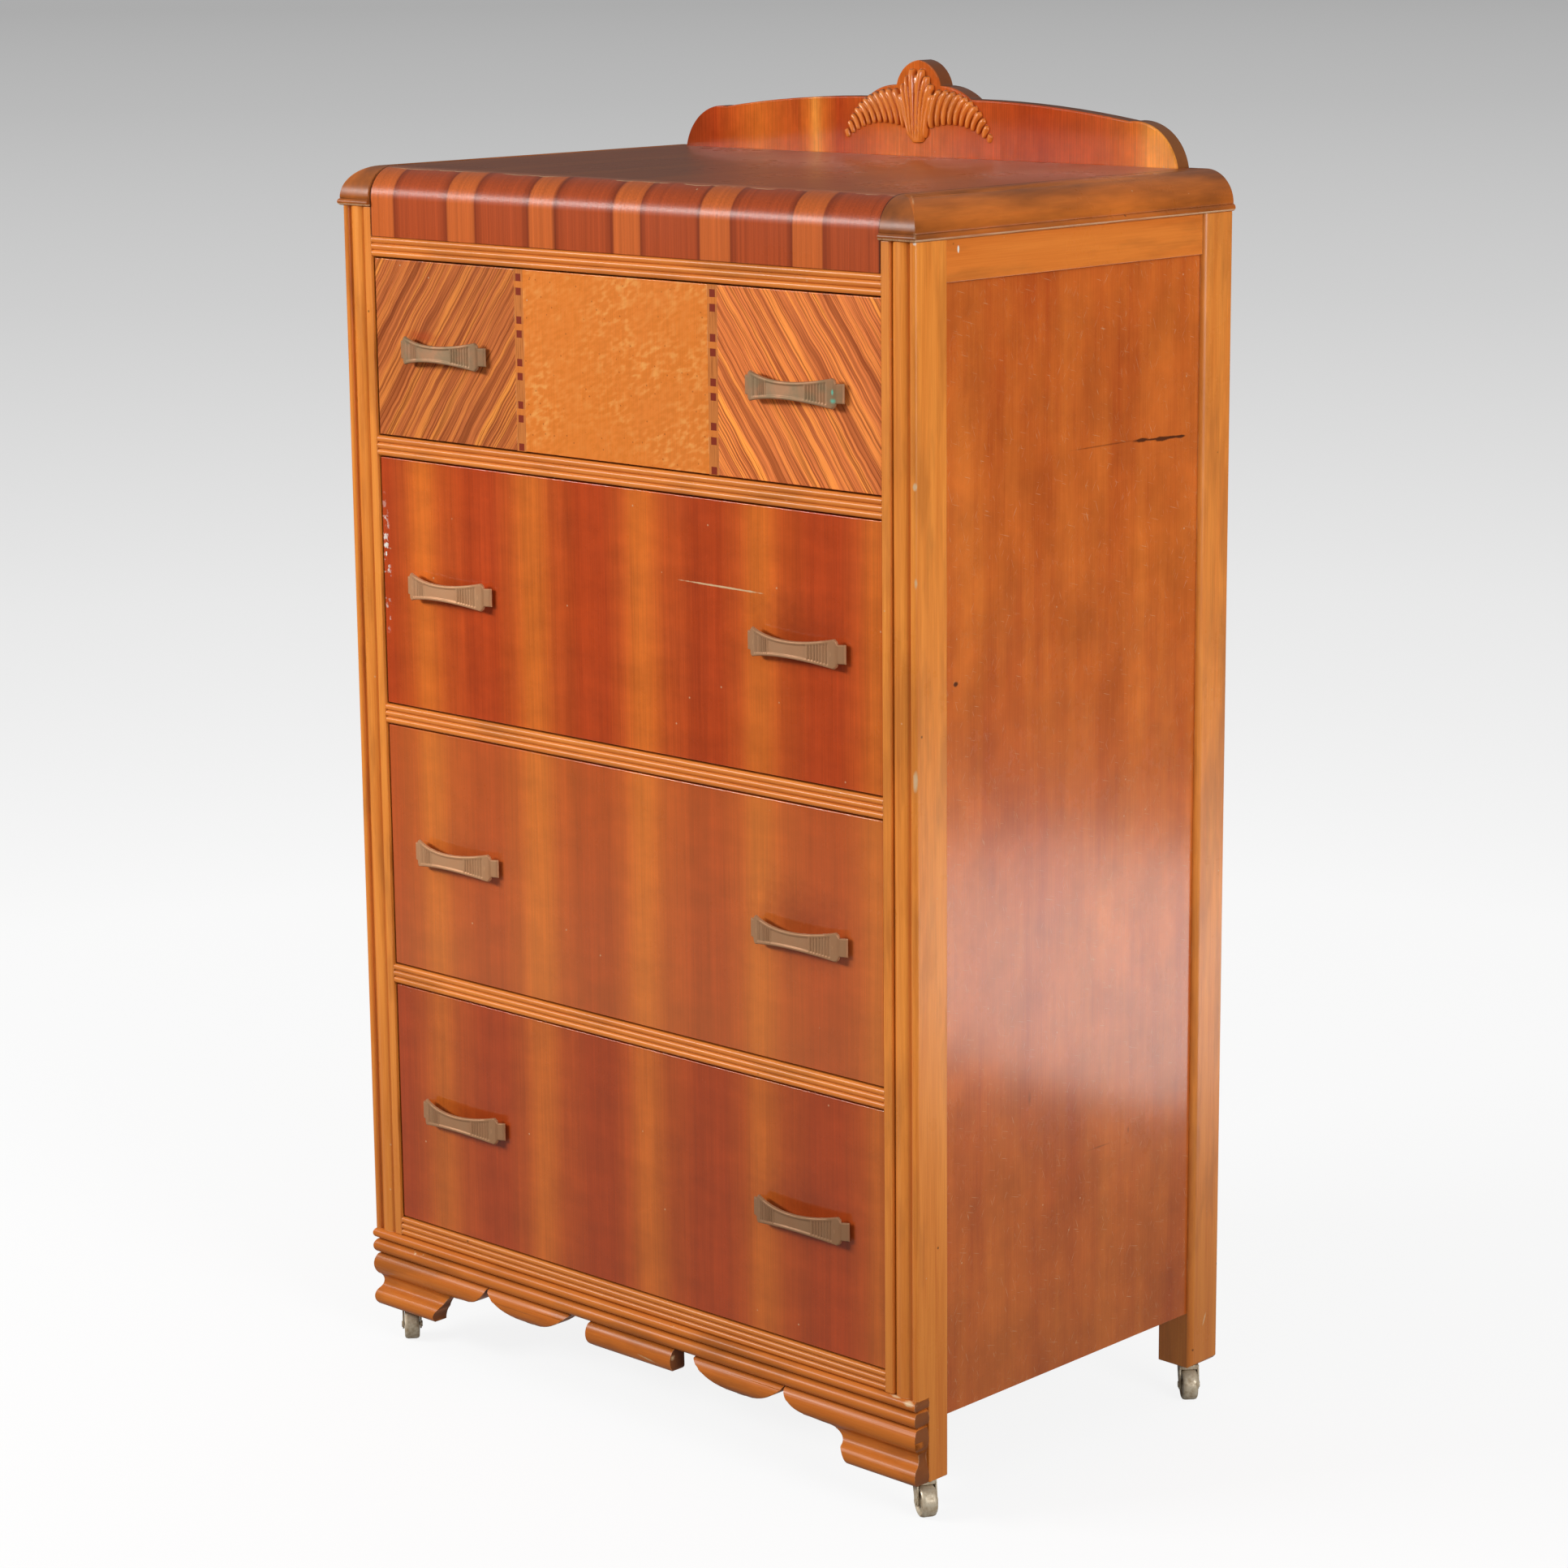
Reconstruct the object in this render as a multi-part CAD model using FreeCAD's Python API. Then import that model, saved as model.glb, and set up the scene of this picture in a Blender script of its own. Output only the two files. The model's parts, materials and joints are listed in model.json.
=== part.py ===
import FreeCAD, Part
import math
import os
from FreeCAD import Vector

# Waterfall chest of drawers on casters. Millimetres, +Z up, X to the right as seen from the front,
# +Y to the back. The origin is on the floor, under the middle of the whole piece.

# Carcass
width = 762.0                 # over the corner posts
depth = 458.0                 # front of the front posts to back of the rear posts
height = 1232.5               # floor to the flat of the top
caster_drop = 38.0            # floor to the underside of the feet
rail_height = 20.0            # every front rail
small_opening = 179.0         # height of the top drawer opening
large_drawers = 3             # below it, sharing the height that is left
apron_drop = 37.0             # straight face of the waterfall edge, from the top rail to the roll
roll_radius = 31.0            # outer radius of the waterfall roll
top_thickness = 20.0
roll_set_back = 1.0           # waterfall face behind the front of the posts

# Posts
front_post_width = 41.0
front_post_depth = 43.0
rear_post_width = 41.0
rear_post_depth = 42.0
rear_edge_round = 6.0         # eased front edge of the rear posts
foot_chamfer = 4.0
fillet_width = 10.0           # flat inner strip on the front of a front post
fillet_set_back = 0.8
reed_width = 18.5             # wide reed of the front post
reed_rise = 3.6
quirk_width = 2.4             # groove on each side of the wide reed
quirk_depth = 4.4
corner_bead_rise = 3.2

# Sides
panel_thickness = 6.0
panel_set_back = 6.0          # panel behind the outer face of the posts
panel_groove = 8.0            # depth of the grooves that hold the panel
panel_drop = 57.5             # underside of the feet to the lower edge of the panel
side_rail_height = 38.5
side_rail_thickness = 20.0
side_rail_set_back = 3.0
lower_rail_rise = 6.0         # lower side rail above the lower edge of the panel

# Mortise and tenon joints
tenon_length = 14.0
tenon_thickness = 9.0
tenon_shoulder = 4.0          # step above and below a tenon

# Front rails
rail_depth = 45.0
rail_set_back = 1.0
rail_reeds = 3
rail_reed_rise = 2.4

# Top moulding
moulding_radius = 32.0
moulding_proud = 1.5          # quarter round in front of the face of the posts
bead_height = 7.0

# Base moulding, from its crown down
crown_bead_height = 10.4
crown_quirk_height = 2.0
middle_bead_height = 14.0
middle_quirk_height = 2.2
belly_height = 21.9
hollow_height = 16.5
toe_height = 17.0
base_depth = 17.0             # part let into the front posts
base_proud = 3.6              # beads in front of the posts
base_neck = 1.4               # where the beads meet, behind the front of the posts
base_quirk_depth = 4.5        # behind the neck
hollow_depth = 5.4            # behind the neck
return_relief = 0.4           # depth of the profile on the ends, where 1 is that of the front
toe_ease = 0.8

# Lower edge of the base moulding, heights above the underside of the feet
foot_length = 90.0            # bracket foot, from the outer end
foot_edge_rise = 15.0         # straight inner edge of the foot
foot_edge_lean = 6.5
foot_edge_bow = 1.6
bracket_rise = 33.0           # shoulder of the bracket
bracket_slope = 2.0
bracket_curve = 28.0          # foot to the start of the shoulder
bracket_shoulder = 24.0
bracket_bow = 4.0
bracket_run = 82.0            # foot to the notch beside the lobe
notch_rise = 57.0
notch_half_width = 2.5
notch_depth = 5.5
lobe_rise = 31.5              # lowest point of a scallop lobe
lobe_top = 57.0
lobe_gap = 26.0               # flat between the centre block and a lobe
block_half_width = 60.0       # centre drop block
block_rise = 32.0
block_corner = 5.0
block_corner_bow = 1.3

# Backboard and its carving
board_thickness = 20.0
board_half_length = 329.0
board_seat = 8.0              # depth of the rebate in the top
board_end_height = 43.0       # where the rounded ends meet the long arch
board_end_run = 59.0
board_arch_bow = 3.6          # long arch above its own chord
board_shoulder_height = 58.3  # long arch where it meets the centre step
board_shoulder_half = 69.0
board_step_height = 71.0
board_step_half = 29.0
board_step_bow = 3.5
board_crest = 96.0
board_crest_bow = 6.0
carving_foot = 12.5           # lowest point of the carving above the top
fan_height = 79.0
fan_depth = 9.0
fan_edge_depth = 4.0
fan_foot_half = 11.0
fan_half = 23.0
fan_foot_rise = 7.0
fan_foot_bow = 2.5
fan_shoulder_drop = 20.0      # widest place below the crest
fan_waist_half = 15.0
fan_waist_rise = 30.0
fan_crest_bow = 2.0
wing_half_length = 95.0
wing_tip_rise = 1.5
wing_tip_height = 8.5         # blunt end of the wing
wing_tip_lean = 2.0
wing_root_low = 12.0
wing_root_high = 52.0
wing_lower_bow = 13.5
wing_upper_bow = 15.0
wing_root_depth = 6.5
wing_tip_depth = 2.5

# Back, rear rails, runners, guides
back_thickness = 4.0
back_rebate = 12.0            # back panel let into the rear posts
rear_rail_depth = 20.0
rear_top_rail_height = 40.0   # uppermost rear rail, which carries the back of the top
runner_thickness = 16.0
runner_bearing = 22.0         # runner width under a drawer side
runner_guide_height = 26.0
guide_half_width = 18.0
guide_rise = 5.5              # centre guide above the top of the rails
guide_thickness = 19.0

# Drawers
drawer_set_back = 3.5         # drawer face behind the front of the posts
drawer_end_gap = 1.8
drawer_edge_gap = 1.5         # above and below the front
front_thickness = 20.0
drawer_side_thickness = 12.0
drawer_side_clearance = 0.3   # above the runners
drawer_head_room = 14.0       # opening above the drawer sides
drawer_rear_gap = 24.0        # drawer to the rear rails
drawer_back_thickness = 12.0
drawer_back_dado = 4.0
drawer_bottom_thickness = 4.0
drawer_bottom_rise = 10.0     # bottom panel above the lower edge of the sides
drawer_bottom_groove = 5.0
strip_width = 13.0            # guide strips under the bottom, beside the centre guide
strip_play = 1.2              # beside the centre guide
strip_floor_gap = 1.2         # above the rails
dovetail_length = 13.0
dovetail_pitch = 47.0         # least spacing
dovetail_neck = 24.0
dovetail_flare = 3.0          # each side, from neck to tip
inlay_offset = 130.0          # inlaid strips from the middle of the top drawer
inlay_width = 12.5
inlay_thickness = 1.0

# Pulls
pull_offset = 236.0           # middle of a pull from the middle of the drawer
pull_half_length = 61.0
pull_flare_half_length = 51.0
pull_flare_half_height = 14.0
pull_waist_half_height = 8.2
pull_tab_half_height = 9.0
pull_corner = 2.5
pull_reach = 19.5             # in front of the drawer face, in its middle
pull_stand_off = 6.0          # the same, at its ends
pull_strap = 3.0
pull_bolt_spacing = 89.0
pull_boss_radius = 4.5
pull_boss_sink = 1.0          # boss end inside the strap
bolt_radius = 2.0
bolt_head_radius = 4.0
bolt_head_height = 2.5
bolt_grip = 4.0               # bolt length inside the boss
bolt_hole_gap = 0.1

# Casters
wheel_radius = 15.6
wheel_width = 15.5
wheel_edge = 2.5
axle_radius = 2.0
axle_head_radius = 3.2
axle_head = 1.0
wheel_bore_gap = 0.1
wheel_side_gap = 0.6
fork_thickness = 1.6
fork_plate = 4.4
fork_eye = 5.0
fork_half_seat = 9.0          # plate behind the stem
caster_trail = 12.0
caster_heading = -43.0        # degrees from +X towards +Y, where the wheels stand at rest
front_right_heading = -31.0   # the same for the right front wheel
stem_radius = 4.0
stem_length = 34.0
stem_gap = 0.1
swivel_gap = 0.3
socket_wall = 1.3
socket_flange = 1.5
socket_flange_radius = 9.0
socket_length = 37.0

# Places that follow from the sizes above
half = width / 2
pull_front = pull_reach - drawer_set_back
front_y = pull_front - (depth + pull_front) / 2
back_y = front_y + depth
inner_x = half - front_post_width
rear_inner_x = half - rear_post_width
front_post_back = front_y + front_post_depth
rear_post_front = back_y - rear_post_depth
foot_z = caster_drop
base_top = foot_z + (crown_bead_height + crown_quirk_height + middle_bead_height + middle_quirk_height
                     + belly_height + hollow_height + toe_height)
panel_bottom = foot_z + panel_drop
panel_outer = half - panel_set_back
panel_inner = panel_outer - panel_thickness
rail_front = front_y + rail_set_back
rail_back = rail_front + rail_depth
drawer_count = large_drawers + 1
top_z = height
top_rail_top = top_z - roll_radius - apron_drop
openings_room = top_rail_top - base_top - (drawer_count + 1) * rail_height
large_opening = (openings_room - small_opening) / large_drawers
opening_heights = {}
floors = {}
rail_levels = []
level = base_top
for number in range(drawer_count, 0, -1):
    rail_levels.append(level)
    floors[number] = level + rail_height
    opening_heights[number] = large_opening if number > 1 else small_opening
    level = floors[number] + opening_heights[number]
rail_levels.append(level)
lowest_floor = floors[drawer_count]
top_underside = top_z - top_thickness
post_top = top_z - moulding_radius - bead_height
side_rail_bottom = post_top - side_rail_height
rear_rail_back = back_y - back_thickness
rear_rail_front = rear_rail_back - rear_rail_depth
board_front = back_y - board_thickness
drawer_face = front_y + drawer_set_back
front_back = drawer_face + front_thickness
drawer_back_y = rear_rail_front - drawer_rear_gap
drawer_half = inner_x - drawer_end_gap
stem_x = half - front_post_width / 2
stem_places = {
    "front_left": (-stem_x, (front_y + base_depth + front_post_back) / 2),
    "front_right": (stem_x, (front_y + base_depth + front_post_back) / 2),
    "rear_left": (-(half - rear_post_width / 2), (rear_post_front + back_y) / 2),
    "rear_right": (half - rear_post_width / 2, (rear_post_front + back_y) / 2),
}
flange_z = foot_z - socket_flange
fork_top = flange_z - swivel_gap


def box(x0, x1, y0, y1, z0, z1):
    return Part.makeBox(x1 - x0, y1 - y0, z1 - z0, Vector(x0, y0, z0))


def outline(plane, *steps):
    """Closed face; a step is a point after a straight line, or a (middle, end) pair after an arc."""
    place = {
        "xy": lambda a, b: Vector(a, b, 0),
        "xz": lambda a, b: Vector(a, 0, b),
        "yz": lambda a, b: Vector(0, a, b),
    }[plane]
    first = place(*steps[0])
    here = first
    edges = []
    for step in steps[1:]:
        if isinstance(step[0], tuple):
            end = place(*step[1])
            edges.append(Part.Arc(here, place(*step[0]), end).toShape())
        else:
            end = place(*step)
            edges.append(Part.LineSegment(here, end).toShape())
        here = end
    if here.distanceToPoint(first) > 1e-6:
        edges.append(Part.LineSegment(here, first).toShape())
    return Part.Face(Part.Wire(edges))


def prism(face, start, end):
    """Face moved to start and extruded to end along its own normal axis, both as vectors."""
    return face.translated(start).extrude(end - start)


def along_x(face, x0, x1):
    return prism(face, Vector(x0, 0, 0), Vector(x1, 0, 0))


def along_y(face, y0, y1):
    return prism(face, Vector(0, y0, 0), Vector(0, y1, 0))


def along_z(face, z0, z1):
    return prism(face, Vector(0, 0, z0), Vector(0, 0, z1))


def mirrored(shape):
    return shape.mirror(Vector(0, 0, 0), Vector(1, 0, 0))


def both_sides(shape):
    return [shape, mirrored(shape)]


def cut(shape, tools):
    for tool in tools:
        shape = shape.cut(tool)
    return shape


def fuse(shapes):
    whole = shapes[0].multiFuse(shapes[1:])
    return whole.removeSplitter()


def on_arc(half_chord, rise, at):
    """Height of a circular arc over its chord, at a distance from the middle of the chord."""
    radius = (half_chord ** 2 + rise ** 2) / (2 * rise)
    return math.sqrt(radius ** 2 - at ** 2) - (radius - rise)


# Mortise and tenon joints, on the right-hand side of the carcass

def front_rail_tenon(z):
    middle = (rail_front + rail_back) / 2
    return box(inner_x, inner_x + tenon_length, middle - tenon_thickness / 2, middle + tenon_thickness / 2,
               z + tenon_shoulder, z + rail_height - tenon_shoulder)


def rear_rail_tenon(low, high):
    middle = (rear_rail_front + rear_rail_back) / 2
    return box(rear_inner_x, rear_inner_x + tenon_length,
               middle - tenon_thickness / 2, middle + tenon_thickness / 2,
               low + tenon_shoulder, min(high, post_top) - tenon_shoulder)


def side_rail_tenons():
    """Tenons of the upper side rail: one into the front post, one into the rear post."""
    middle = half - side_rail_set_back - side_rail_thickness / 2
    x0 = middle - tenon_thickness / 2
    z0 = side_rail_bottom + panel_groove + tenon_shoulder
    z1 = post_top - tenon_shoulder
    return [box(x0, x0 + tenon_thickness, front_post_back - tenon_length, front_post_back, z0, z1),
            box(x0, x0 + tenon_thickness, rear_post_front, rear_post_front + tenon_length, z0, z1)]


def rear_rail_levels():
    """Lower and upper edge of each rear rail, from the base up."""
    levels = [(floor - rail_height, floor) for floor in floors.values()]
    return levels + [(top_underside - rear_top_rail_height, top_underside)]


# Carcass

def side_panel():
    return box(panel_inner, panel_outer, front_post_back - panel_groove, rear_post_front + panel_groove,
               panel_bottom, side_rail_bottom + panel_groove)


def socket_hole(name):
    x, y = stem_places[name]
    radius = stem_radius + stem_gap + socket_wall
    return Part.makeCylinder(radius, socket_length, Vector(x, y, foot_z))


def front_post():
    """Right front post: flat strip, quirk, wide reed, quirk and corner bead on its front."""
    reed_start = inner_x + fillet_width + quirk_width
    reed_end = reed_start + reed_width
    bead_start = reed_end + quirk_width
    spring = front_y + reed_rise
    section = outline(
        "xy",
        (inner_x, front_post_back),
        (inner_x, front_y + fillet_set_back),
        (inner_x + fillet_width, front_y + fillet_set_back),
        (inner_x + fillet_width + quirk_width / 2, front_y + quirk_depth),
        (reed_start, spring),
        (((reed_start + reed_end) / 2, front_y), (reed_end, spring)),
        (reed_end + quirk_width / 2, front_y + quirk_depth),
        (bead_start, front_y + corner_bead_rise),
        (((bead_start + half) / 2, front_y), (half, front_y + corner_bead_rise)),
        (half, front_post_back),
    )
    post = along_z(section, foot_z, post_top)
    notch = box(inner_x, half, front_y - base_proud, front_y + base_depth, foot_z, base_top)
    tools = [notch, side_panel(), side_rail_tenons()[0], socket_hole("front_right")]
    tools += [front_rail_tenon(z) for z in rail_levels]
    return cut(post, tools)


def rear_post():
    """Right rear post, eased on its outer front edge, rebated for the back panel."""
    ease = rear_edge_round
    turn = ease * (1 - math.sqrt(0.5))
    section = outline(
        "xy",
        (rear_inner_x, back_y),
        (rear_inner_x, rear_post_front),
        (half - ease, rear_post_front),
        ((half - turn, rear_post_front + turn), (half, rear_post_front + ease)),
        (half, back_y),
    )
    post = along_z(section, foot_z, post_top)
    corner = outline("xz", (half - foot_chamfer, foot_z), (half, foot_z), (half, foot_z + foot_chamfer))
    chamfer = along_y(corner, rear_post_front, back_y)
    rebate = box(rear_inner_x, rear_inner_x + back_rebate, rear_rail_back, back_y, panel_bottom, post_top)
    tools = [chamfer, rebate, side_panel(), side_rail_tenons()[1], socket_hole("rear_right")]
    tools += [rear_rail_tenon(low, high) for low, high in rear_rail_levels()]
    return cut(post, tools)


def side_rails():
    """Upper rail with tenons and a groove for the panel; plain lower rail under the lowest runner."""
    outer = half - side_rail_set_back
    upper = box(outer - side_rail_thickness, outer, front_post_back, rear_post_front,
                side_rail_bottom, post_top)
    upper = fuse([upper] + side_rail_tenons()).cut(side_panel())
    lower = box(panel_inner - side_rail_thickness, panel_inner, front_post_back, rear_post_front,
                panel_bottom + lower_rail_rise, lowest_floor - runner_thickness)
    return both_sides(upper) + both_sides(lower)


def front_rail(z):
    """Rail with rounded reeds along its front and a tenon at each end."""
    pitch = rail_height / rail_reeds
    steps = [(rail_back, z), (rail_front + rail_reed_rise, z)]
    for reed in range(rail_reeds):
        low = z + reed * pitch
        steps.append(((rail_front, low + pitch / 2), (rail_front + rail_reed_rise, low + pitch)))
    steps.append((rail_back, z + rail_height))
    bar = along_x(outline("yz", *steps), -inner_x, inner_x)
    return fuse([bar] + both_sides(front_rail_tenon(z)))


def top_panel():
    """Top with its front edge rolled down to the top rail, and a stopped rebate for the backboard."""
    face = front_y + roll_set_back
    spring_z = top_z - roll_radius
    bend = math.sqrt(0.5)
    inner_radius = roll_radius - top_thickness
    centre_y = face + roll_radius
    section = outline(
        "yz",
        (face, top_rail_top),
        (face, spring_z),
        ((centre_y - roll_radius * bend, spring_z + roll_radius * bend), (centre_y, top_z)),
        (back_y, top_z),
        (back_y, top_underside),
        (centre_y, top_underside),
        ((centre_y - inner_radius * bend, spring_z + inner_radius * bend), (face + top_thickness, spring_z)),
        (face + top_thickness, top_rail_top),
    )
    rebate = box(-board_half_length, board_half_length, board_front, back_y, top_z - board_seat, top_z)
    return along_x(section, -inner_x, inner_x).cut(rebate)


def moulding_section(plane, inner, outer, sign):
    """Bead and quarter round between an inner joint and an outer face, along one axis."""
    bead_top = post_top + bead_height
    face = outer + sign * moulding_proud
    round_start = face - sign * moulding_radius
    bend = moulding_radius * math.sqrt(0.5)
    return outline(
        plane,
        (inner, post_top),
        (outer, post_top),
        ((outer + sign * bead_height / 2, post_top + bead_height / 2), (outer, bead_top)),
        (face, bead_top),
        ((round_start + sign * bend, bead_top + bend), (round_start, top_z)),
        (inner, top_z),
    )


def top_moulding():
    """Side run and front return of the right top moulding, mitred at the corner."""
    reach = half + bead_height
    run = along_y(moulding_section("xz", inner_x, half, 1), front_y - bead_height, back_y)
    back = moulding_section("yz", front_y + front_post_width, front_y, -1)
    turn = along_x(back, inner_x, reach)
    corner = half + front_y
    far = front_y + front_post_width
    ahead = front_y - bead_height
    mitre = outline("xy", (inner_x, far), (inner_x, ahead), (corner - ahead, ahead))
    front_side = along_z(mitre, post_top, top_z)
    return [run.cut(front_side), turn.common(front_side)]


def bowed(start, end, bow):
    """Arc step to the end point, bowed to the left of the way from start to end."""
    run, rise = end[0] - start[0], end[1] - start[1]
    shift = bow / math.hypot(run, rise)
    middle = ((start[0] + end[0]) / 2 - shift * rise, (start[1] + end[1]) / 2 + shift * run)
    return (middle, end)


def backboard():
    """Arched board: rounded ends, a long low arch, and a stepped crest in the middle."""
    low = top_z - board_seat
    end_x = board_half_length
    arch_x = end_x - board_end_run
    bend = math.sqrt(0.5)
    arch_end = (arch_x, top_z + board_end_height)
    shoulder = (board_shoulder_half, top_z + board_shoulder_height)
    step = (board_step_half, top_z + board_step_height)
    crest = (0, top_z + board_crest)
    half_board = outline(
        "xz",
        (0, low),
        (end_x, low),
        (end_x, top_z),
        ((arch_x + board_end_run * bend, top_z + board_end_height * bend), arch_end),
        bowed(arch_end, shoulder, -board_arch_bow),
        bowed(shoulder, step, -board_step_bow),
        bowed(step, crest, -board_crest_bow),
    )
    right = along_y(half_board, board_front, back_y)
    return fuse(both_sides(right))


def carving():
    """Plume: a crowned fan in the middle, with a wing on each side that thins to a drooping tip."""
    foot = top_z + carving_foot
    top = foot + fan_height
    tip = (wing_half_length, foot + wing_tip_rise)
    root_low = (0, foot + wing_root_low)
    root_high = (0, foot + wing_root_high)
    tip_top = (tip[0] - wing_tip_lean, tip[1] + wing_tip_height)
    wing = outline("xz", root_low, bowed(root_low, tip, wing_lower_bow), tip_top,
                   bowed(tip_top, root_high, -wing_upper_bow))
    taper = outline("xy", (0, board_front), (0, board_front - wing_root_depth),
                    (wing_half_length, board_front - wing_tip_depth), (wing_half_length, board_front))
    wing = along_y(wing, board_front - wing_root_depth, board_front).common(along_z(taper, foot, top))
    corner = (fan_half, top - fan_shoulder_drop)
    heel = (fan_foot_half, foot + fan_foot_rise)
    half_fan = outline("xz", (0, foot), bowed((0, foot), heel, -fan_foot_bow),
                       ((fan_waist_half, foot + fan_waist_rise), corner),
                       bowed(corner, (0, top), -fan_crest_bow))
    crown = outline("xy", (0, board_front), (fan_half, board_front), (fan_half, board_front - fan_edge_depth),
                    ((fan_half * math.sqrt(0.5), board_front - (fan_depth + fan_edge_depth) / 2),
                     (0, board_front - fan_depth)))
    fan = along_y(half_fan, board_front - fan_depth, board_front).common(along_z(crown, foot, top))
    return fuse(both_sides(wing) + both_sides(fan))


def base_section(plane, front, inwards, back):
    """Section of the base moulding: three beads with quirks between them, a hollow and a rounded toe.

    The sign of inwards is the way into the wood, and its size scales the depth of the profile.
    """
    face = front + inwards * base_proud
    neck = face + inwards * base_neck
    z = base_top
    steps = [(back, foot_z), (back, z), (neck, z)]
    for bead, quirk in ((crown_bead_height, crown_quirk_height), (middle_bead_height, middle_quirk_height)):
        steps.append(((front, z - bead / 2), (neck, z - bead)))
        z -= bead + quirk
        steps += [(neck + inwards * base_quirk_depth, z + quirk / 2), (neck, z)]
    steps.append(((front, z - belly_height / 2), (neck, z - belly_height)))
    z -= belly_height
    steps.append(((neck + inwards * hollow_depth, z - hollow_height / 2), (neck, z - hollow_height)))
    steps.append(((front, foot_z + toe_height / 2), (face, foot_z + toe_ease)))
    steps.append((face + inwards * toe_ease, foot_z))
    return outline(plane, *steps)


def base_moulding():
    """Moulding returned on its ends, its lower edge cut to bracket feet, scallop lobes and a drop block."""
    z = foot_z
    foot_x = half - foot_length
    notch_x = foot_x - bracket_run
    lobe_start = block_half_width + lobe_gap
    lobe_end = notch_x - notch_half_width
    edge_end = (foot_x - foot_edge_lean, z + foot_edge_rise)
    shoulder = (foot_x - bracket_curve, z + bracket_rise)
    shoulder_end = (shoulder[0] - bracket_shoulder, shoulder[1] + bracket_slope)
    notch_right = (notch_x + notch_half_width, z + notch_rise - notch_depth)
    block_side = (block_half_width, z + block_rise + block_corner)
    block_foot = (block_half_width - block_corner, z + block_rise)
    edge = outline(
        "xz",
        (0, base_top),
        (half, base_top),
        (half, z),
        (foot_x, z),
        bowed((foot_x, z), edge_end, -foot_edge_bow),
        bowed(edge_end, shoulder, -bracket_bow),
        shoulder_end,
        bowed(shoulder_end, notch_right, bracket_bow),
        (notch_x, z + notch_rise),
        (lobe_end, z + notch_rise - notch_depth),
        (((lobe_start + lobe_end) / 2, z + lobe_rise), (lobe_start, z + lobe_top)),
        (block_half_width, z + lobe_top),
        block_side,
        bowed(block_side, block_foot, block_corner_bow),
        (0, z + block_rise),
    )
    front = front_y - base_proud
    back = front_y + base_depth
    run = along_x(base_section("yz", front, 1, back), -half, half)
    right_return = along_y(base_section("xz", half, -return_relief, 0), front, back)
    right_edge = along_y(edge, front, back)
    return run.common(fuse(both_sides(right_edge))).common(fuse(both_sides(right_return)))


def back_panel():
    edge = rear_inner_x + back_rebate
    return box(-edge, edge, rear_rail_back, back_y, panel_bottom, post_top)


def rear_rails():
    rails = []
    for low, high in rear_rail_levels():
        bar = box(-rear_inner_x, rear_inner_x, rear_rail_front, rear_rail_back, low, high)
        rails.append(fuse([bar] + both_sides(rear_rail_tenon(low, high))))
    return rails


def drawer_runners():
    """On each side of each drawer, a runner under its side and a guide strip glued on beside it."""
    runners = []
    for floor in floors.values():
        runner = box(inner_x - runner_bearing, panel_inner, rail_back, rear_post_front,
                     floor - runner_thickness, floor)
        guide = box(inner_x, panel_inner, rail_back, rear_post_front, floor, floor + runner_guide_height)
        runners += both_sides(runner) + both_sides(guide)
    return runners


def centre_guides():
    guides = []
    for floor in floors.values():
        top = floor + guide_rise
        guides.append(box(-guide_half_width, guide_half_width, rail_back, rear_rail_front,
                          top - guide_thickness, top))
    return guides


def caster_sockets():
    sockets = []
    bore = stem_radius + stem_gap
    for x, y in stem_places.values():
        sleeve = Part.makeCylinder(bore + socket_wall, socket_length, Vector(x, y, foot_z))
        flange = Part.makeCylinder(socket_flange_radius, socket_flange, Vector(x, y, flange_z))
        hole = Part.makeCylinder(bore, socket_flange + socket_length, Vector(x, y, flange_z))
        sockets.append(fuse([sleeve, flange]).cut(hole))
    return sockets


# Drawers

def dovetails(low, high):
    """Tails on the front end of the right drawer side, spaced evenly over its height."""
    count = max(2, int((high - low) // dovetail_pitch))
    pitch = (high - low) / count
    neck = dovetail_neck / 2
    tip = neck + dovetail_flare
    tails = []
    for place in range(count):
        middle = low + place * pitch + pitch / 2
        face = outline(
            "yz",
            (front_back, middle - neck),
            (front_back, middle + neck),
            (front_back - dovetail_length, middle + tip),
            (front_back - dovetail_length, middle - tip),
        )
        tails.append(along_x(face, drawer_half - drawer_side_thickness, drawer_half))
    return tails


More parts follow.
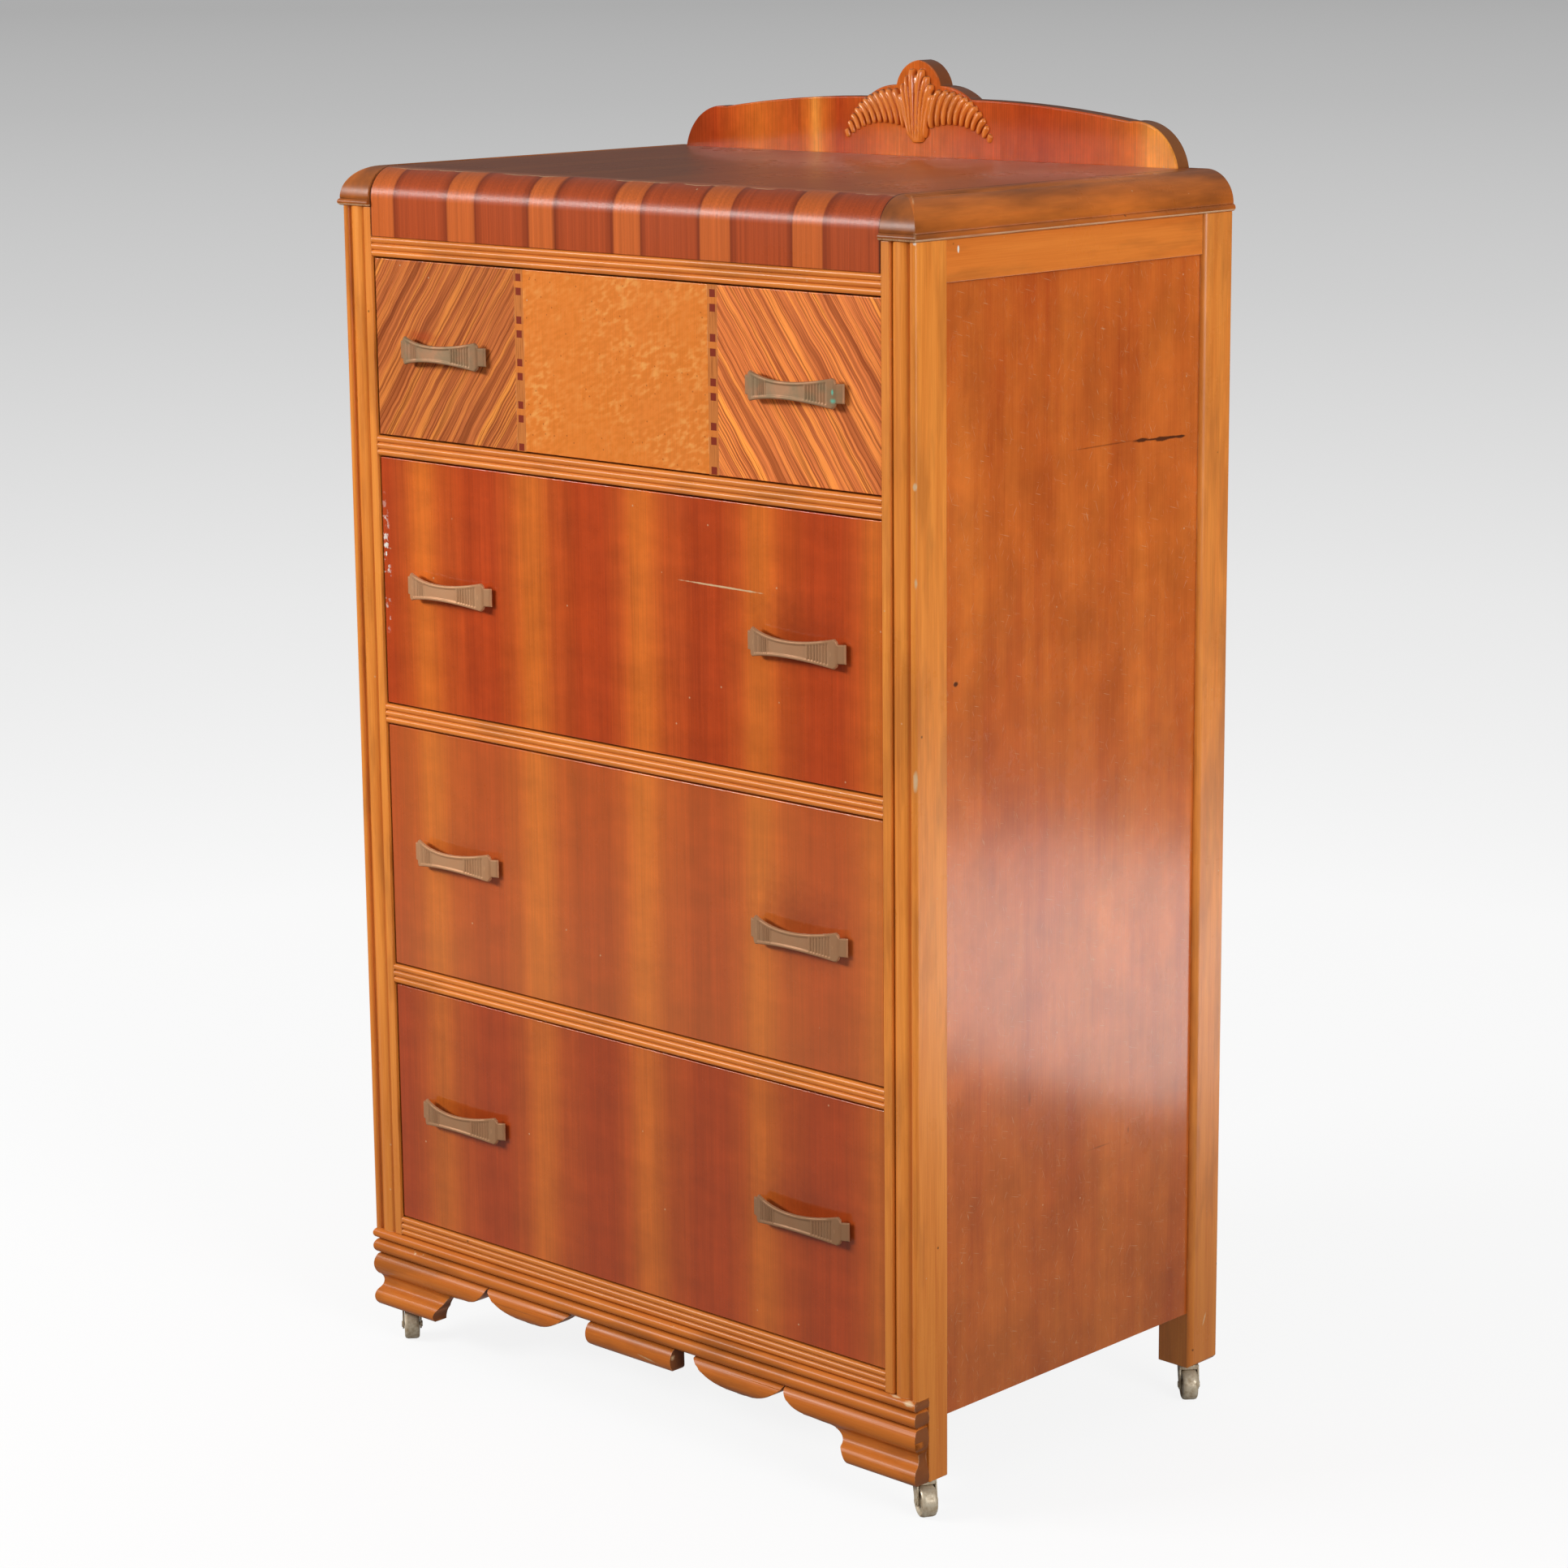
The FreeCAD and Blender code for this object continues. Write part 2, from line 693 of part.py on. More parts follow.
def drawer(number):
    """The wooden pieces of one drawer, by name."""
    floor = floors[number]
    height = opening_heights[number]
    low = floor + drawer_side_clearance
    high = floor + height - drawer_head_room
    side_inner = drawer_half - drawer_side_thickness
    bottom_z = low + drawer_bottom_rise
    bottom_edge = side_inner + drawer_bottom_groove
    bottom = box(-bottom_edge, bottom_edge, front_back - drawer_bottom_groove, drawer_back_y,
                 bottom_z, bottom_z + drawer_bottom_thickness)
    back_edge = side_inner + drawer_back_dado
    back_front = drawer_back_y - 2 * drawer_back_thickness
    back = box(-back_edge, back_edge, back_front, back_front + drawer_back_thickness,
               bottom_z + drawer_bottom_thickness, high)
    tails = dovetails(low, high)
    side = fuse([box(side_inner, drawer_half, front_back, drawer_back_y, low, high)] + tails)
    sides = both_sides(cut(side, [bottom, back]))
    front = box(-drawer_half, drawer_half, drawer_face, front_back,
                floor + drawer_edge_gap, floor + height - drawer_edge_gap)
    sockets = tails + [mirrored(tail) for tail in tails]
    holes = [Part.makeCylinder(bolt_radius + bolt_hole_gap, front_thickness, Vector(x, drawer_face, z),
                               Vector(0, 1, 0)) for x, z in bolt_places(number)]
    tools = sockets + [bottom] + holes
    if number == 1:
        tools += inlay_strips()
    strip_x = guide_half_width + strip_play
    strip = box(strip_x, strip_x + strip_width, front_back, back_front, floor + strip_floor_gap, bottom_z)
    return {"front": [cut(front, tools)], "sides": sides, "back": [back], "bottom": [bottom],
            "guide_strips": both_sides(strip)}


def inlay_strips():
    """Two upright strips let into the face of the top drawer."""
    low = floors[1] + drawer_edge_gap
    high = floors[1] + opening_heights[1] - drawer_edge_gap
    strip = box(inlay_offset - inlay_width / 2, inlay_offset + inlay_width / 2,
                drawer_face, drawer_face + inlay_thickness, low, high)
    return both_sides(strip)


def pull_middle(number):
    return floors[number] + opening_heights[number] / 2


def bolt_places(number):
    return [(side * pull_offset + end * pull_bolt_spacing / 2, pull_middle(number))
            for side in (-1, 1) for end in (-1, 1)]


def pull_shape():
    """One pull about its own middle: a bowed strap, waisted, with flared ends and tabs."""
    flare = pull_flare_half_length
    tall = pull_flare_half_height
    waist = pull_waist_half_height
    tab_half = pull_tab_half_height
    tab = flare + pull_corner
    face = outline(
        "xz",
        (-flare, tall),
        ((0, waist), (flare, tall)),
        (tab, tall - pull_corner),
        (tab, tab_half),
        (pull_half_length, tab_half),
        (pull_half_length, -tab_half),
        (tab, -tab_half),
        (tab, pull_corner - tall),
        (flare, -tall),
        ((0, -waist), (-flare, -tall)),
        (-tab, pull_corner - tall),
        (-tab, -tab_half),
        (-pull_half_length, -tab_half),
        (-pull_half_length, tab_half),
        (-tab, tab_half),
        (-tab, tall - pull_corner),
    )
    front = -pull_stand_off
    back = pull_strap - pull_stand_off
    band = outline(
        "xy",
        (-pull_half_length, front),
        ((0, -pull_reach), (pull_half_length, front)),
        (pull_half_length, back),
        ((0, pull_strap - pull_reach), (-pull_half_length, back)),
    )
    strap = along_y(face, -pull_reach, back).common(along_z(band, -tall, tall))
    bolt_x = pull_bolt_spacing / 2
    boss_length = on_arc(pull_half_length, pull_reach - pull_stand_off, bolt_x) - back + pull_boss_sink
    bosses = []
    holes = []
    for x in (-bolt_x, bolt_x):
        bosses.append(Part.makeCylinder(pull_boss_radius, boss_length, Vector(x, 0, 0), Vector(0, -1, 0)))
        holes.append(Part.makeCylinder(bolt_radius, bolt_grip, Vector(x, 0, 0), Vector(0, -1, 0)))
    return cut(fuse([strap] + bosses), holes)


def drawer_pulls(number, shape):
    z = pull_middle(number)
    return [shape.translated(Vector(side * pull_offset, drawer_face, z)) for side in (-1, 1)]


def pull_bolts(number):
    bolts = []
    for x, z in bolt_places(number):
        shank = Part.makeCylinder(bolt_radius, front_thickness + bolt_grip,
                                  Vector(x, drawer_face - bolt_grip, z), Vector(0, 1, 0))
        head = Part.makeCylinder(bolt_head_radius, bolt_head_height,
                                 Vector(x, front_back, z), Vector(0, 1, 0))
        bolts.append(fuse([shank, head]))
    return bolts


# Casters, made with the stem on the Z axis and the wheel trailing along +X

def caster_fork():
    """Stamped fork: plate under the foot, two legs to the axle, stem up into the socket."""
    inner = wheel_width / 2 + wheel_side_gap
    outer = inner + fork_thickness
    top = fork_top
    under = top - fork_plate
    eye = fork_eye
    plate_end = caster_trail + eye / 2
    plate = outline(
        "xy",
        (0, -outer),
        (plate_end, -outer),
        (plate_end, outer),
        (0, outer),
        ((-fork_half_seat, 0), (0, -outer)),
    )
    leg = outline(
        "xz",
        (0, top),
        (plate_end, top),
        (caster_trail + eye, wheel_radius),
        ((caster_trail, wheel_radius - eye), (caster_trail - eye, wheel_radius)),
        (0, under),
    )
    legs = [along_y(leg, inner, outer), along_y(leg, -outer, -inner)]
    stem = Part.makeCylinder(stem_radius, stem_length, Vector(0, 0, under))
    fork = fuse([along_z(plate, under, top), stem] + legs)
    across = Vector(0, 1, 0)
    axle = Part.makeCylinder(axle_radius, 2 * outer, Vector(caster_trail, -outer, wheel_radius), across)
    heads = [Part.makeCylinder(axle_head_radius, axle_head, Vector(caster_trail, y, wheel_radius), across)
             for y in (-outer - axle_head, outer)]
    return [fork.cut(axle), fuse([axle] + heads)]


def caster_wheel():
    """Wheel with rounded treads, turned about its axle."""
    bore = axle_radius + wheel_bore_gap
    side = wheel_width / 2
    ease = wheel_edge
    turn = ease * (1 - math.sqrt(0.5))
    section = outline(
        "xy",
        (bore, -side),
        (wheel_radius - ease, -side),
        ((wheel_radius - turn, -side + turn), (wheel_radius, -side + ease)),
        (wheel_radius, side - ease),
        ((wheel_radius - turn, side - turn), (wheel_radius - ease, side)),
        (bore, side),
    )
    wheel = section.revolve(Vector(0, 0, 0), Vector(0, 1, 0), 360)
    return wheel.translated(Vector(caster_trail, 0, wheel_radius))


def heading(name):
    return front_right_heading if name == "front_right" else caster_heading


def at_foot(shape, name):
    """Caster piece turned to its heading and put under its foot."""
    x, y = stem_places[name]
    turned = shape.copy()
    turned.rotate(Vector(0, 0, 0), Vector(0, 0, 1), heading(name))
    return turned.translated(Vector(x, y, 0))


def write(node, solids):
    """One STEP file for a node, holding one or more separate solids."""
    shape = solids[0] if len(solids) == 1 else Part.makeCompound(solids)
    shape.exportStep("parts/" + node + ".step")


def write_carcass():
    for maker, name in ((front_post, "front_post"), (rear_post, "rear_post"), (side_panel, "side_panel")):
        right = maker()
        write(name + "_right", [right])
        write(name + "_left", [mirrored(right)])
    run, turn = top_moulding()
    write("top_moulding_right", [run, turn])
    write("top_moulding_left", [mirrored(run), mirrored(turn)])
    write("side_rails", side_rails())
    write("top_panel", [top_panel()])
    write("backboard", [backboard()])
    write("carved_ornament", [carving()])
    names = ("front_rail_bottom", "drawer_rail_3", "drawer_rail_2", "drawer_rail_1", "front_rail_top")
    for name, z in zip(names, rail_levels):
        write(name, [front_rail(z)])
    write("base_moulding", [base_moulding()])
    write("back_panel", [back_panel()])
    write("rear_rails", rear_rails())
    write("drawer_runners", drawer_runners())
    write("centre_guides", centre_guides())
    write("caster_sockets", caster_sockets())


def write_drawers():
    pull = pull_shape()
    for number in sorted(floors):
        for piece, solids in drawer(number).items():
            write("drawer_%d_%s" % (number, piece), solids)
        write("drawer_%d_pulls" % number, drawer_pulls(number, pull))
        write("drawer_%d_pull_bolts" % number, pull_bolts(number))
    write("drawer_1_inlay", inlay_strips())


def write_casters():
    fork_solids = caster_fork()
    wheel = caster_wheel()
    for name in stem_places:
        write("caster_fork_" + name, [at_foot(solid, name) for solid in fork_solids])
        write("caster_wheel_" + name, [at_foot(wheel, name)])


os.makedirs("parts", exist_ok=True)
write_carcass()
write_drawers()
write_casters()
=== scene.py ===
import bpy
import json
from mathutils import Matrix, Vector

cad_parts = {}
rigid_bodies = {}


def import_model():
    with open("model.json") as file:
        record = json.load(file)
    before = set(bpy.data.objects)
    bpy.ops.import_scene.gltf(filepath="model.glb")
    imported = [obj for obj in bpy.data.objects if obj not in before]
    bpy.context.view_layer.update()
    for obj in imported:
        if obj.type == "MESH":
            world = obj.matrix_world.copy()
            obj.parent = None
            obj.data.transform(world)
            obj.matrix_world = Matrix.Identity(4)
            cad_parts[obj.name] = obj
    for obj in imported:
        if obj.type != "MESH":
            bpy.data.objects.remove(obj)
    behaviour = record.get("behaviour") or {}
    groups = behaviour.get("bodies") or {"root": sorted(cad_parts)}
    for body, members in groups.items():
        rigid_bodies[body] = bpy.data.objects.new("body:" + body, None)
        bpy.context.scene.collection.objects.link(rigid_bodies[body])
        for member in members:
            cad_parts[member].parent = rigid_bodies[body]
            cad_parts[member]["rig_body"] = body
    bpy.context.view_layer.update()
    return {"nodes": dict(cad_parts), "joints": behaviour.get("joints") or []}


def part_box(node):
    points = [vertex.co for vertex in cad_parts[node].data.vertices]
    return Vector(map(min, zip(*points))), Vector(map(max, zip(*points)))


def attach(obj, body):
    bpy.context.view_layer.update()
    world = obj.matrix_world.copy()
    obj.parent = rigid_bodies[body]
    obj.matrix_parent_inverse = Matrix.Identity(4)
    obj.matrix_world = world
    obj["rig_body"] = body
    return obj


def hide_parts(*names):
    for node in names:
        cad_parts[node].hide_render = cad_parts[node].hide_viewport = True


bl_info = {
    "name": "Waterfall dresser",
    "version": (1, 0, 0),
    "blender": (4, 5, 0),
    "location": "View3D > Sidebar > Dresser",
    "description": "Dresses the solids of a waterfall chest of drawers in veneer, lacquer and metal",
    "category": "Object",
}

import json
import math

import bmesh
import bpy
from bpy.props import FloatProperty, FloatVectorProperty, IntProperty, PointerProperty
from mathutils import Matrix, Vector

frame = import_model()

MM = 0.001
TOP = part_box("top_panel")[1].z
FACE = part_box("drawer_2_front")[0].y
POST_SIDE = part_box("front_post_right")[1].x
POST_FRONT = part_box("front_post_right")[0].y
PANEL_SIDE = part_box("side_panel_right")[1].x
BOARD_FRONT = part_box("backboard")[0].y
CASTERS = ("front_left", "front_right", "rear_left", "rear_right")
DRAWERS = (1, 2, 3, 4)
SIDES = ("left", "right")
TINY = 1e-6


def linear(code):
    """sRGB hex colour as linear RGBA."""
    parts = [int(code[at:at + 2], 16) / 255 for at in (0, 2, 4)]
    return tuple(c / 12.92 if c <= 0.04045 else ((c + 0.055) / 1.055) ** 2.4 for c in parts) + (1.0,)


def shade(name, code, words):
    """Colour property with an sRGB hex default."""
    return FloatVectorProperty(name=name, description=words, subtype="COLOR", size=4, min=0, max=1,
                               default=linear(code))


def length(name, millimetres, words):
    """Length property with a default in millimetres."""
    return FloatProperty(name=name, description=words, unit="LENGTH", min=0, precision=5, default=millimetres * MM)


class DresserSizes(bpy.types.PropertyGroup):
    """Sizes of the patterns and the small forms."""
    edge_ease: length("Edge ease", 0.9, "Rounding that sandpaper left on the sharp edges")
    board_ease: length("Backboard ease", 1.6, "Rounding of the backboard's front edge")
    fork_ease: length("Fork ease", 0.4, "Rounding of the caster forks' pressed edges")
    # Real wood fibres are too fine to show in the render, so they are drawn as coarse as they need to show.
    fibre: length("Fibre width", 1.1, "Width of the finest wood streaks that are drawn")
    band_pitch: length("Band pitch", 152.5, "Distance between the light bands of the lower drawer fronts")
    band_peak: length("Band place", 28.5, "Lightest line of one band, from the middle of a drawer")
    strip_pitch: length("Strip pitch", 115.2, "Distance between the light strips of the rolled edge")
    strip_middle: length("Strip place", 22.0, "Middle of one light strip, from the middle of the top")
    strip_width: length("Strip width", 34.0, "Width of a light strip of the rolled edge")
    zebra_pitch: length("Zebra line pitch", 1.8, "Usual distance between the dark lines of the striped veneer")
    maple_half: length("Maple half width", 124.0, "Half of the plain middle panel of the top drawer")
    inlay_square: length("Inlay square", 7.2, "Side of a dark square of the inlaid strips")
    inlay_gap: length("Inlay pair", 13.4, "Distance between the two squares of a pair")
    inlay_pitch: length("Inlay pitch", 41.0, "Distance between the pairs of squares")
    inlay_first: length("Inlay start", 14.7, "Middle of the first pair below the top of the drawer front")
    pull_half: length("Pull half length", 61.0, "Middle of a pull to its end")
    pull_flare: length("Pull flare", 51.0, "Middle of a pull to its widest place")
    pull_corner: length("Pull corner", 2.5, "Cut corner beside the end tab of a pull")
    pull_waist: length("Pull waist", 8.2, "Half height of a pull in its middle")
    pull_tab: length("Pull tab", 9.0, "Half height of the end tabs of a pull")
    pull_stand: length("Pull stand-off", 6.0, "Drawer face to the front of a pull's ends")
    pull_strap: length("Pull thickness", 3.0, "Thickness of the pull's strap")
    pull_rim: length("Pull rim", 2.5, "Raised border of a pull")
    pull_relief: length("Pull relief", 0.9, "Depth of the sunk panel and of the ribs of a pull")
    rib_start: length("Rib start", 25.0, "Middle of a pull to its first rib")
    rib_pitch: length("Rib pitch", 3.05, "Distance between the ribs of a pull")
    rib_count: IntProperty(name="Ribs", description="Ribs at each end of a pull", default=7, min=1)
    wing_ribs: IntProperty(name="Wing ribs", description="Ribs on each wing of the carving", default=11, min=3)
    carve_grain: length("Carving fineness", 0.6, "Mesh fineness of the carved plume")
    wheel_half: length("Wheel half width", 7.75, "Half width of a caster wheel")


class DresserColours(bpy.types.PropertyGroup):
    """Colours of the woods, the metals and the dirt on them."""
    amber_light: shade("Amber, light", "f59b42", "Light grain of the amber lacquered wood")
    amber_dark: shade("Amber, dark", "d67629", "Dark grain of the amber lacquered wood")
    # This colour also makes the feet of the posts and the lower drawer fronts browner towards the bottom.
    amber_brown: shade("Amber, browned", "8c4c1f", "Amber wood where the stain is heavy or handling has browned it")
    # The end-grain colour also paints shade on the backboard's edges and on the right-hand moulding return.
    amber_end_and_shade: shade("Amber, end grain", "74452a", "End grain of the amber wood")
    band_light: shade("Band, light", "d66d27", "Light bands of the lower drawer fronts")
    band_middle: shade("Band, middle", "c25420", "Edges of the bands")
    band_dark: shade("Band, dark", "b5441a", "Dark ground between the bands")
    side_light: shade("Side, light", "dc762e", "Light grain of the side panels")
    side_dark: shade("Side, dark", "b34c1b", "Dark grain of the side panels")
    # The light strip colour also paints the backboard's reflection on the flat of the top.
    strip_light_and_reflection: shade("Roll, light", "ca642b", "Light strips of the rolled edge")
    strip_dark: shade("Roll, dark", "b04b22", "Dark strips of the rolled edge")
    strip_line: shade("Roll, seams", "8a3717", "Seams between the strips")
    # The worn top colour is greyed with a painted reflection as well as wear.
    top_worn_and_reflection: shade("Top, worn", "885034", "Dull worn flat of the top")
    zebra_light: shade("Zebra, light", "e58d3e", "Brightest streaks of the striped veneer")
    zebra_middle: shade("Zebra, middle", "c46c38", "Ground of the striped veneer")
    zebra_dark: shade("Zebra, lines", "783618", "Lines of the striped veneer")
    # The light maple colour also paints a faint sheen over drawer 3.
    maple_light_and_sheen: shade("Maple, light", "f3a95a", "Bright curls of the maple panel")
    maple_ground: shade("Maple, ground", "e68234", "Ground of the maple panel")
    maple_dark: shade("Maple, dark", "df7e30", "Shaded curls of the maple panel")
    scratch_dark: shade("Scratch", "3c1c0e", "Dirt packed into deep scratches")
    inlay_ground: shade("Inlay ground", "d07c3c", "Ground of the inlaid strips")
    inlay_dark: shade("Inlay squares", "8a3420", "Dark squares of the inlaid strips")
    poplar_light: shade("Poplar, light", "d8bc8c", "Light grain of the drawer sides")
    poplar_dark: shade("Poplar, dark", "b08f5e", "Dark grain of the drawer sides")
    plywood_light: shade("Plywood, light", "c9a472", "Light grain of the drawer bottoms and the back")
    plywood_dark: shade("Plywood, dark", "9d7848", "Dark grain of the drawer bottoms and the back")
    bronze: shade("Bronze", "b0805a", "Antique bronze of the pulls")
    bronze_green: shade("Bronze, aged", "8c7858", "Grey-green patina on parts of the pulls")
    bronze_high: shade("Bronze, rubbed", "c8946a", "Copper that shows on the rubbed crests")
    bronze_low: shade("Bronze, grooves", "5a4632", "Dark patina in the grooves")
    verdigris: shade("Verdigris", "66b79d", "Green corrosion on one pull")
    steel: shade("Steel", "d8ccb4", "Worn plated steel of the casters")
    rust: shade("Rust", "9c8260", "Rust and floor dirt on the casters")
    # The grime colour also paints shade into corners and gaps.
    grime_and_shade: shade("Grime", "6b3014", "Old wax and dirt in the corners")
    bare: shade("Bare wood", "d9b48a", "Wood where the lacquer is rubbed or chipped away")
    paint: shade("Paint specks", "e9e4da", "White paint splashes")


def wire(tree, node, inputs):
    """Links outputs to a node's inputs and sets its plain values."""
    for key, value in inputs.items():
        socket = node.inputs[key]
        if isinstance(value, bpy.types.NodeSocket):
            tree.links.new(value, socket)
        else:
            socket.default_value = value


def add(tree, kind, inputs=None, out=0, stops=None, **settings):
    """Adds one shader node with its settings and links, and returns one of its outputs."""
    node = tree.nodes.new("ShaderNode" + kind)
    for key, value in settings.items():
        setattr(node, key, value)
    for number, (place, colour) in enumerate(stops or ()):
        points = node.color_ramp.elements
        point = points[number] if number < 2 else points.new(place)
        point.position = place
        point.color = colour
    wire(tree, node, inputs or {})
    return node.outputs[out]


def begin(name):
    """New material with its node tree and its surface shader."""
    material = bpy.data.materials.new(name)
    material.use_nodes = True
    return material, material.node_tree, material.node_tree.nodes["Principled BSDF"]


MADE = {}


def finish(maker, *options):
    """The material that a maker gives, made once."""
    key = (maker.__name__,) + options
    if key not in MADE:
        scene = bpy.context.scene
        MADE[key] = maker(scene.dresser_sizes, scene.dresser_colours, *options)
    return MADE[key]


def places(tree, axes):
    """Object coordinates, followed by each of the named axes of them."""
    source = add(tree, "TexCoord", out="Object")
    return [source] + [add(tree, "SeparateXYZ", {0: source}, out=axis) for axis in axes]


def fibres(tree, across, along, axis="Z", source=None, turn=0.0, detail=3.0):
    """Noise drawn out along one axis, like wood fibres, with a real width and length in metres."""
    source = source or add(tree, "TexCoord", out="Object")
    size = [across] * 3
    size["XYZ".index(axis)] = along
    place = add(tree, "Mapping", {"Vector": source, "Rotation": (0, turn, 0), "Scale": size},
                vector_type="TEXTURE")
    return add(tree, "TexNoise", {"Vector": place, "Scale": 1.0, "Detail": detail, "Roughness": 0.6})


def cloudy(tree, source, size, least, most):
    """Factor that drifts between two values, in patches of a real size."""
    place = add(tree, "Mapping", {"Vector": source, "Scale": size}, vector_type="TEXTURE")
    noise = add(tree, "TexNoise", {"Vector": place, "Scale": 1.0, "Detail": 5.0, "Roughness": 0.62})
    return add(tree, "MapRange", {"Value": noise, "From Min": 0.3, "From Max": 0.7, "To Min": least, "To Max": most})


def dots(tree, source, pitch, rim, core, most):
    """Small round marks strewn a real distance apart; rim and core are parts of that distance."""
    far = add(tree, "TexVoronoi", {"Vector": source, "Scale": 1 / pitch}, out="Distance")
    return add(tree, "MapRange", {"Value": far, "From Min": rim, "From Max": core, "To Max": most})


def hollows(tree, reach, start, full, most=1.0, **settings):
    """Mask of the corners within a real reach, or of the outer edges where the search runs inside the piece."""
    open_air = add(tree, "AmbientOcclusion", {"Distance": reach}, out="AO", **settings)
    return add(tree, "MapRange", {"Value": open_air, "From Min": start, "From Max": full, "To Max": most})


def repeated(tree, value, start, pitch):
    """Way through a pattern that repeats at a pitch, from 0 to 1."""
    turns = add(tree, "Math", {0: value, 1: start}, operation="SUBTRACT")
    turns = add(tree, "Math", {0: turns, 1: pitch}, operation="DIVIDE")
    return add(tree, "Math", {0: turns}, operation="FRACT")


def stain(tree, middle, half, rim=0.4, turn=(0, 0, 0)):
    """Soft spot: 1 inside an ellipsoid of the given half sizes, 0 outside it, with a ragged edge."""
    source = add(tree, "TexCoord", out="Object")
    place = add(tree, "Mapping", {"Vector": source, "Location": middle, "Rotation": turn, "Scale": half},
                vector_type="TEXTURE")
    far = add(tree, "VectorMath", {0: place}, out="Value", operation="LENGTH")
    ragged = add(tree, "TexNoise", {"Vector": source, "Scale": 1 / (9 * MM), "Detail": 3.0})
    far = add(tree, "Math", {0: ragged, 1: 0.9, 2: far}, operation="MULTIPLY_ADD")
    outside = 1.45
    return add(tree, "MapRange", {"Value": far, "From Min": outside, "From Max": outside - rim})


def any_of(tree, masks):
    """Largest of several masks."""
    whole = masks[0]
    for mask in masks[1:]:
        whole = add(tree, "Math", {0: whole, 1: mask}, operation="MAXIMUM")
    return whole


def layered(tree, colour, *coats):
    """Colours laid over one another, each where its own mask is 1."""
    for mask, over in coats:
        colour = add(tree, "Mix", {0: mask, 6: colour, 7: over}, out=2, data_type="RGBA")
    return colour


def toned(tree, colour, *tones):
    """Colour made lighter or darker by several factors in turn."""
    for tone in tones:
        colour = add(tree, "Mix", {0: 1.0, 6: colour, 7: tone}, out=2, data_type="RGBA", blend_type="MULTIPLY")
    return colour


def lacquer(tree, shader, colours, colour, grain, gloss=0.22, dull=0.4, rub=0.55, depth=0.04 * MM, coat=0.15,
            film=0.8, corner_shade_level=0.55, mirror=0.12):
    """Old lacquer on a wood colour: grime and painted shade in corners, rubbed edges, nicks, patchy gloss, grain that
    shows through.
    """
    source = add(tree, "TexCoord", out="Object")
    # Grime and painted shade: corners and gaps within 5 mm are darkened with the grime colour, as where shade falls.
    dirt = hollows(tree, 5 * MM, corner_shade_level, corner_shade_level - 0.4, corner_shade_level - 0.1, samples=6)
    patchy = add(tree, "TexNoise", {"Vector": source, "Scale": 1 / (24 * MM), "Detail": 5.0})
    bare = add(tree, "MapRange", {"Value": patchy, "From Min": 0.5, "From Max": 0.66, "To Max": rub})
    edge = hollows(tree, 1.6 * MM, 0.82, 0.5, samples=6, inside=True, only_local=True)
    rubbed = add(tree, "Math", {0: edge, 1: bare}, operation="MULTIPLY")
    rubbed = any_of(tree, [rubbed, dots(tree, source, 34 * MM, 0.034, 0.02, 0.6)])
    colour = layered(tree, colour, (dirt, colours.grime_and_shade), (rubbed, colours.bare))
    hazy = add(tree, "TexNoise", {"Vector": source, "Scale": 1 / (120 * MM), "Detail": 8.0, "Roughness": 0.65})
    rough = add(tree, "MapRange", {"Value": hazy, "From Min": 0.3, "From Max": 0.7, "To Min": gloss, "To Max": dull})
    rough = add(tree, "Math", {0: rubbed, 1: 0.3, 2: rough}, operation="MULTIPLY_ADD")
    bump = add(tree, "Bump", {"Height": grain, "Strength": 0.5, "Distance": depth})
    wire(tree, shader, {"Base Color": colour, "Roughness": rough, "Normal": bump, "Coat Normal": bump,
                        "Specular IOR Level": mirror, "Coat Weight": film, "Coat Roughness": coat})


# Grain axis, browning, reddening, weight and roughness of the lacquer film.
AMBER = {
    "posts": ("Z", 0.3, 0.0, 0.5, 0.28),
    "rear_posts": ("Z", 0.45, 0.05, 0.9, 0.34),
    "rails": ("X", 0.3, 0.3, 0.25, 0.28),
    "side_rails": ("Y", 0.3, 0.55, 0.5, 0.28),
    "top_moulding": ("Y", 1.0, 0.7, 0.12, 0.3),
    "base_moulding": ("X", 0.7, 0.45, 0.08, 0.3),
    "carving": ("Z", 0.3, 0.5, 0.8, 0.16),
}
# Middle, half sizes, softness of the edge and lean of the marks on each kind of amber piece.
CHIPS = {
    "base_moulding": (
        ((0.0274, POST_FRONT, 0.0778), (17 * MM, 5 * MM, 1.8 * MM), 0.5, (0, 0.144, 0)),
        ((0.0615, POST_FRONT, 0.0858), (3 * MM, 4 * MM, 4 * MM)),
        ((-0.3165, POST_FRONT, 0.1074), (2 * MM, 5 * MM, 1.3 * MM)),
        ((-0.329, POST_FRONT, 0.0675), (2.6 * MM, 5 * MM, 1.1 * MM)),
        ((0.354, POST_FRONT, 0.1225), (8 * MM, 4 * MM, 2 * MM)),
        ((0.373, POST_FRONT, 0.119), (8 * MM, 6 * MM, 3 * MM))),
    "posts": (
        ((POST_SIDE, POST_FRONT, 0.979), (3 * MM, 3 * MM, 5 * MM)),
        ((POST_SIDE, POST_FRONT, 0.892), (2 * MM, 3 * MM, 9 * MM)),
        ((POST_SIDE, POST_FRONT, 0.712), (4 * MM, 3 * MM, 11 * MM))),
    "rear_posts": (((POST_SIDE, 0.2167, 0.0856), (3 * MM, 0.9 * MM, 8 * MM), 0.5, (-0.4, 0, 0)),),
}
SPLASHES = {
    "side_rails": (((0.378, -0.1593, 1.1839), (4 * MM, 1.6 * MM, 3.8 * MM)),),
    "posts": (((POST_SIDE, POST_FRONT, 1.1922), (3 * MM, 3 * MM, 2.4 * MM)),),
}
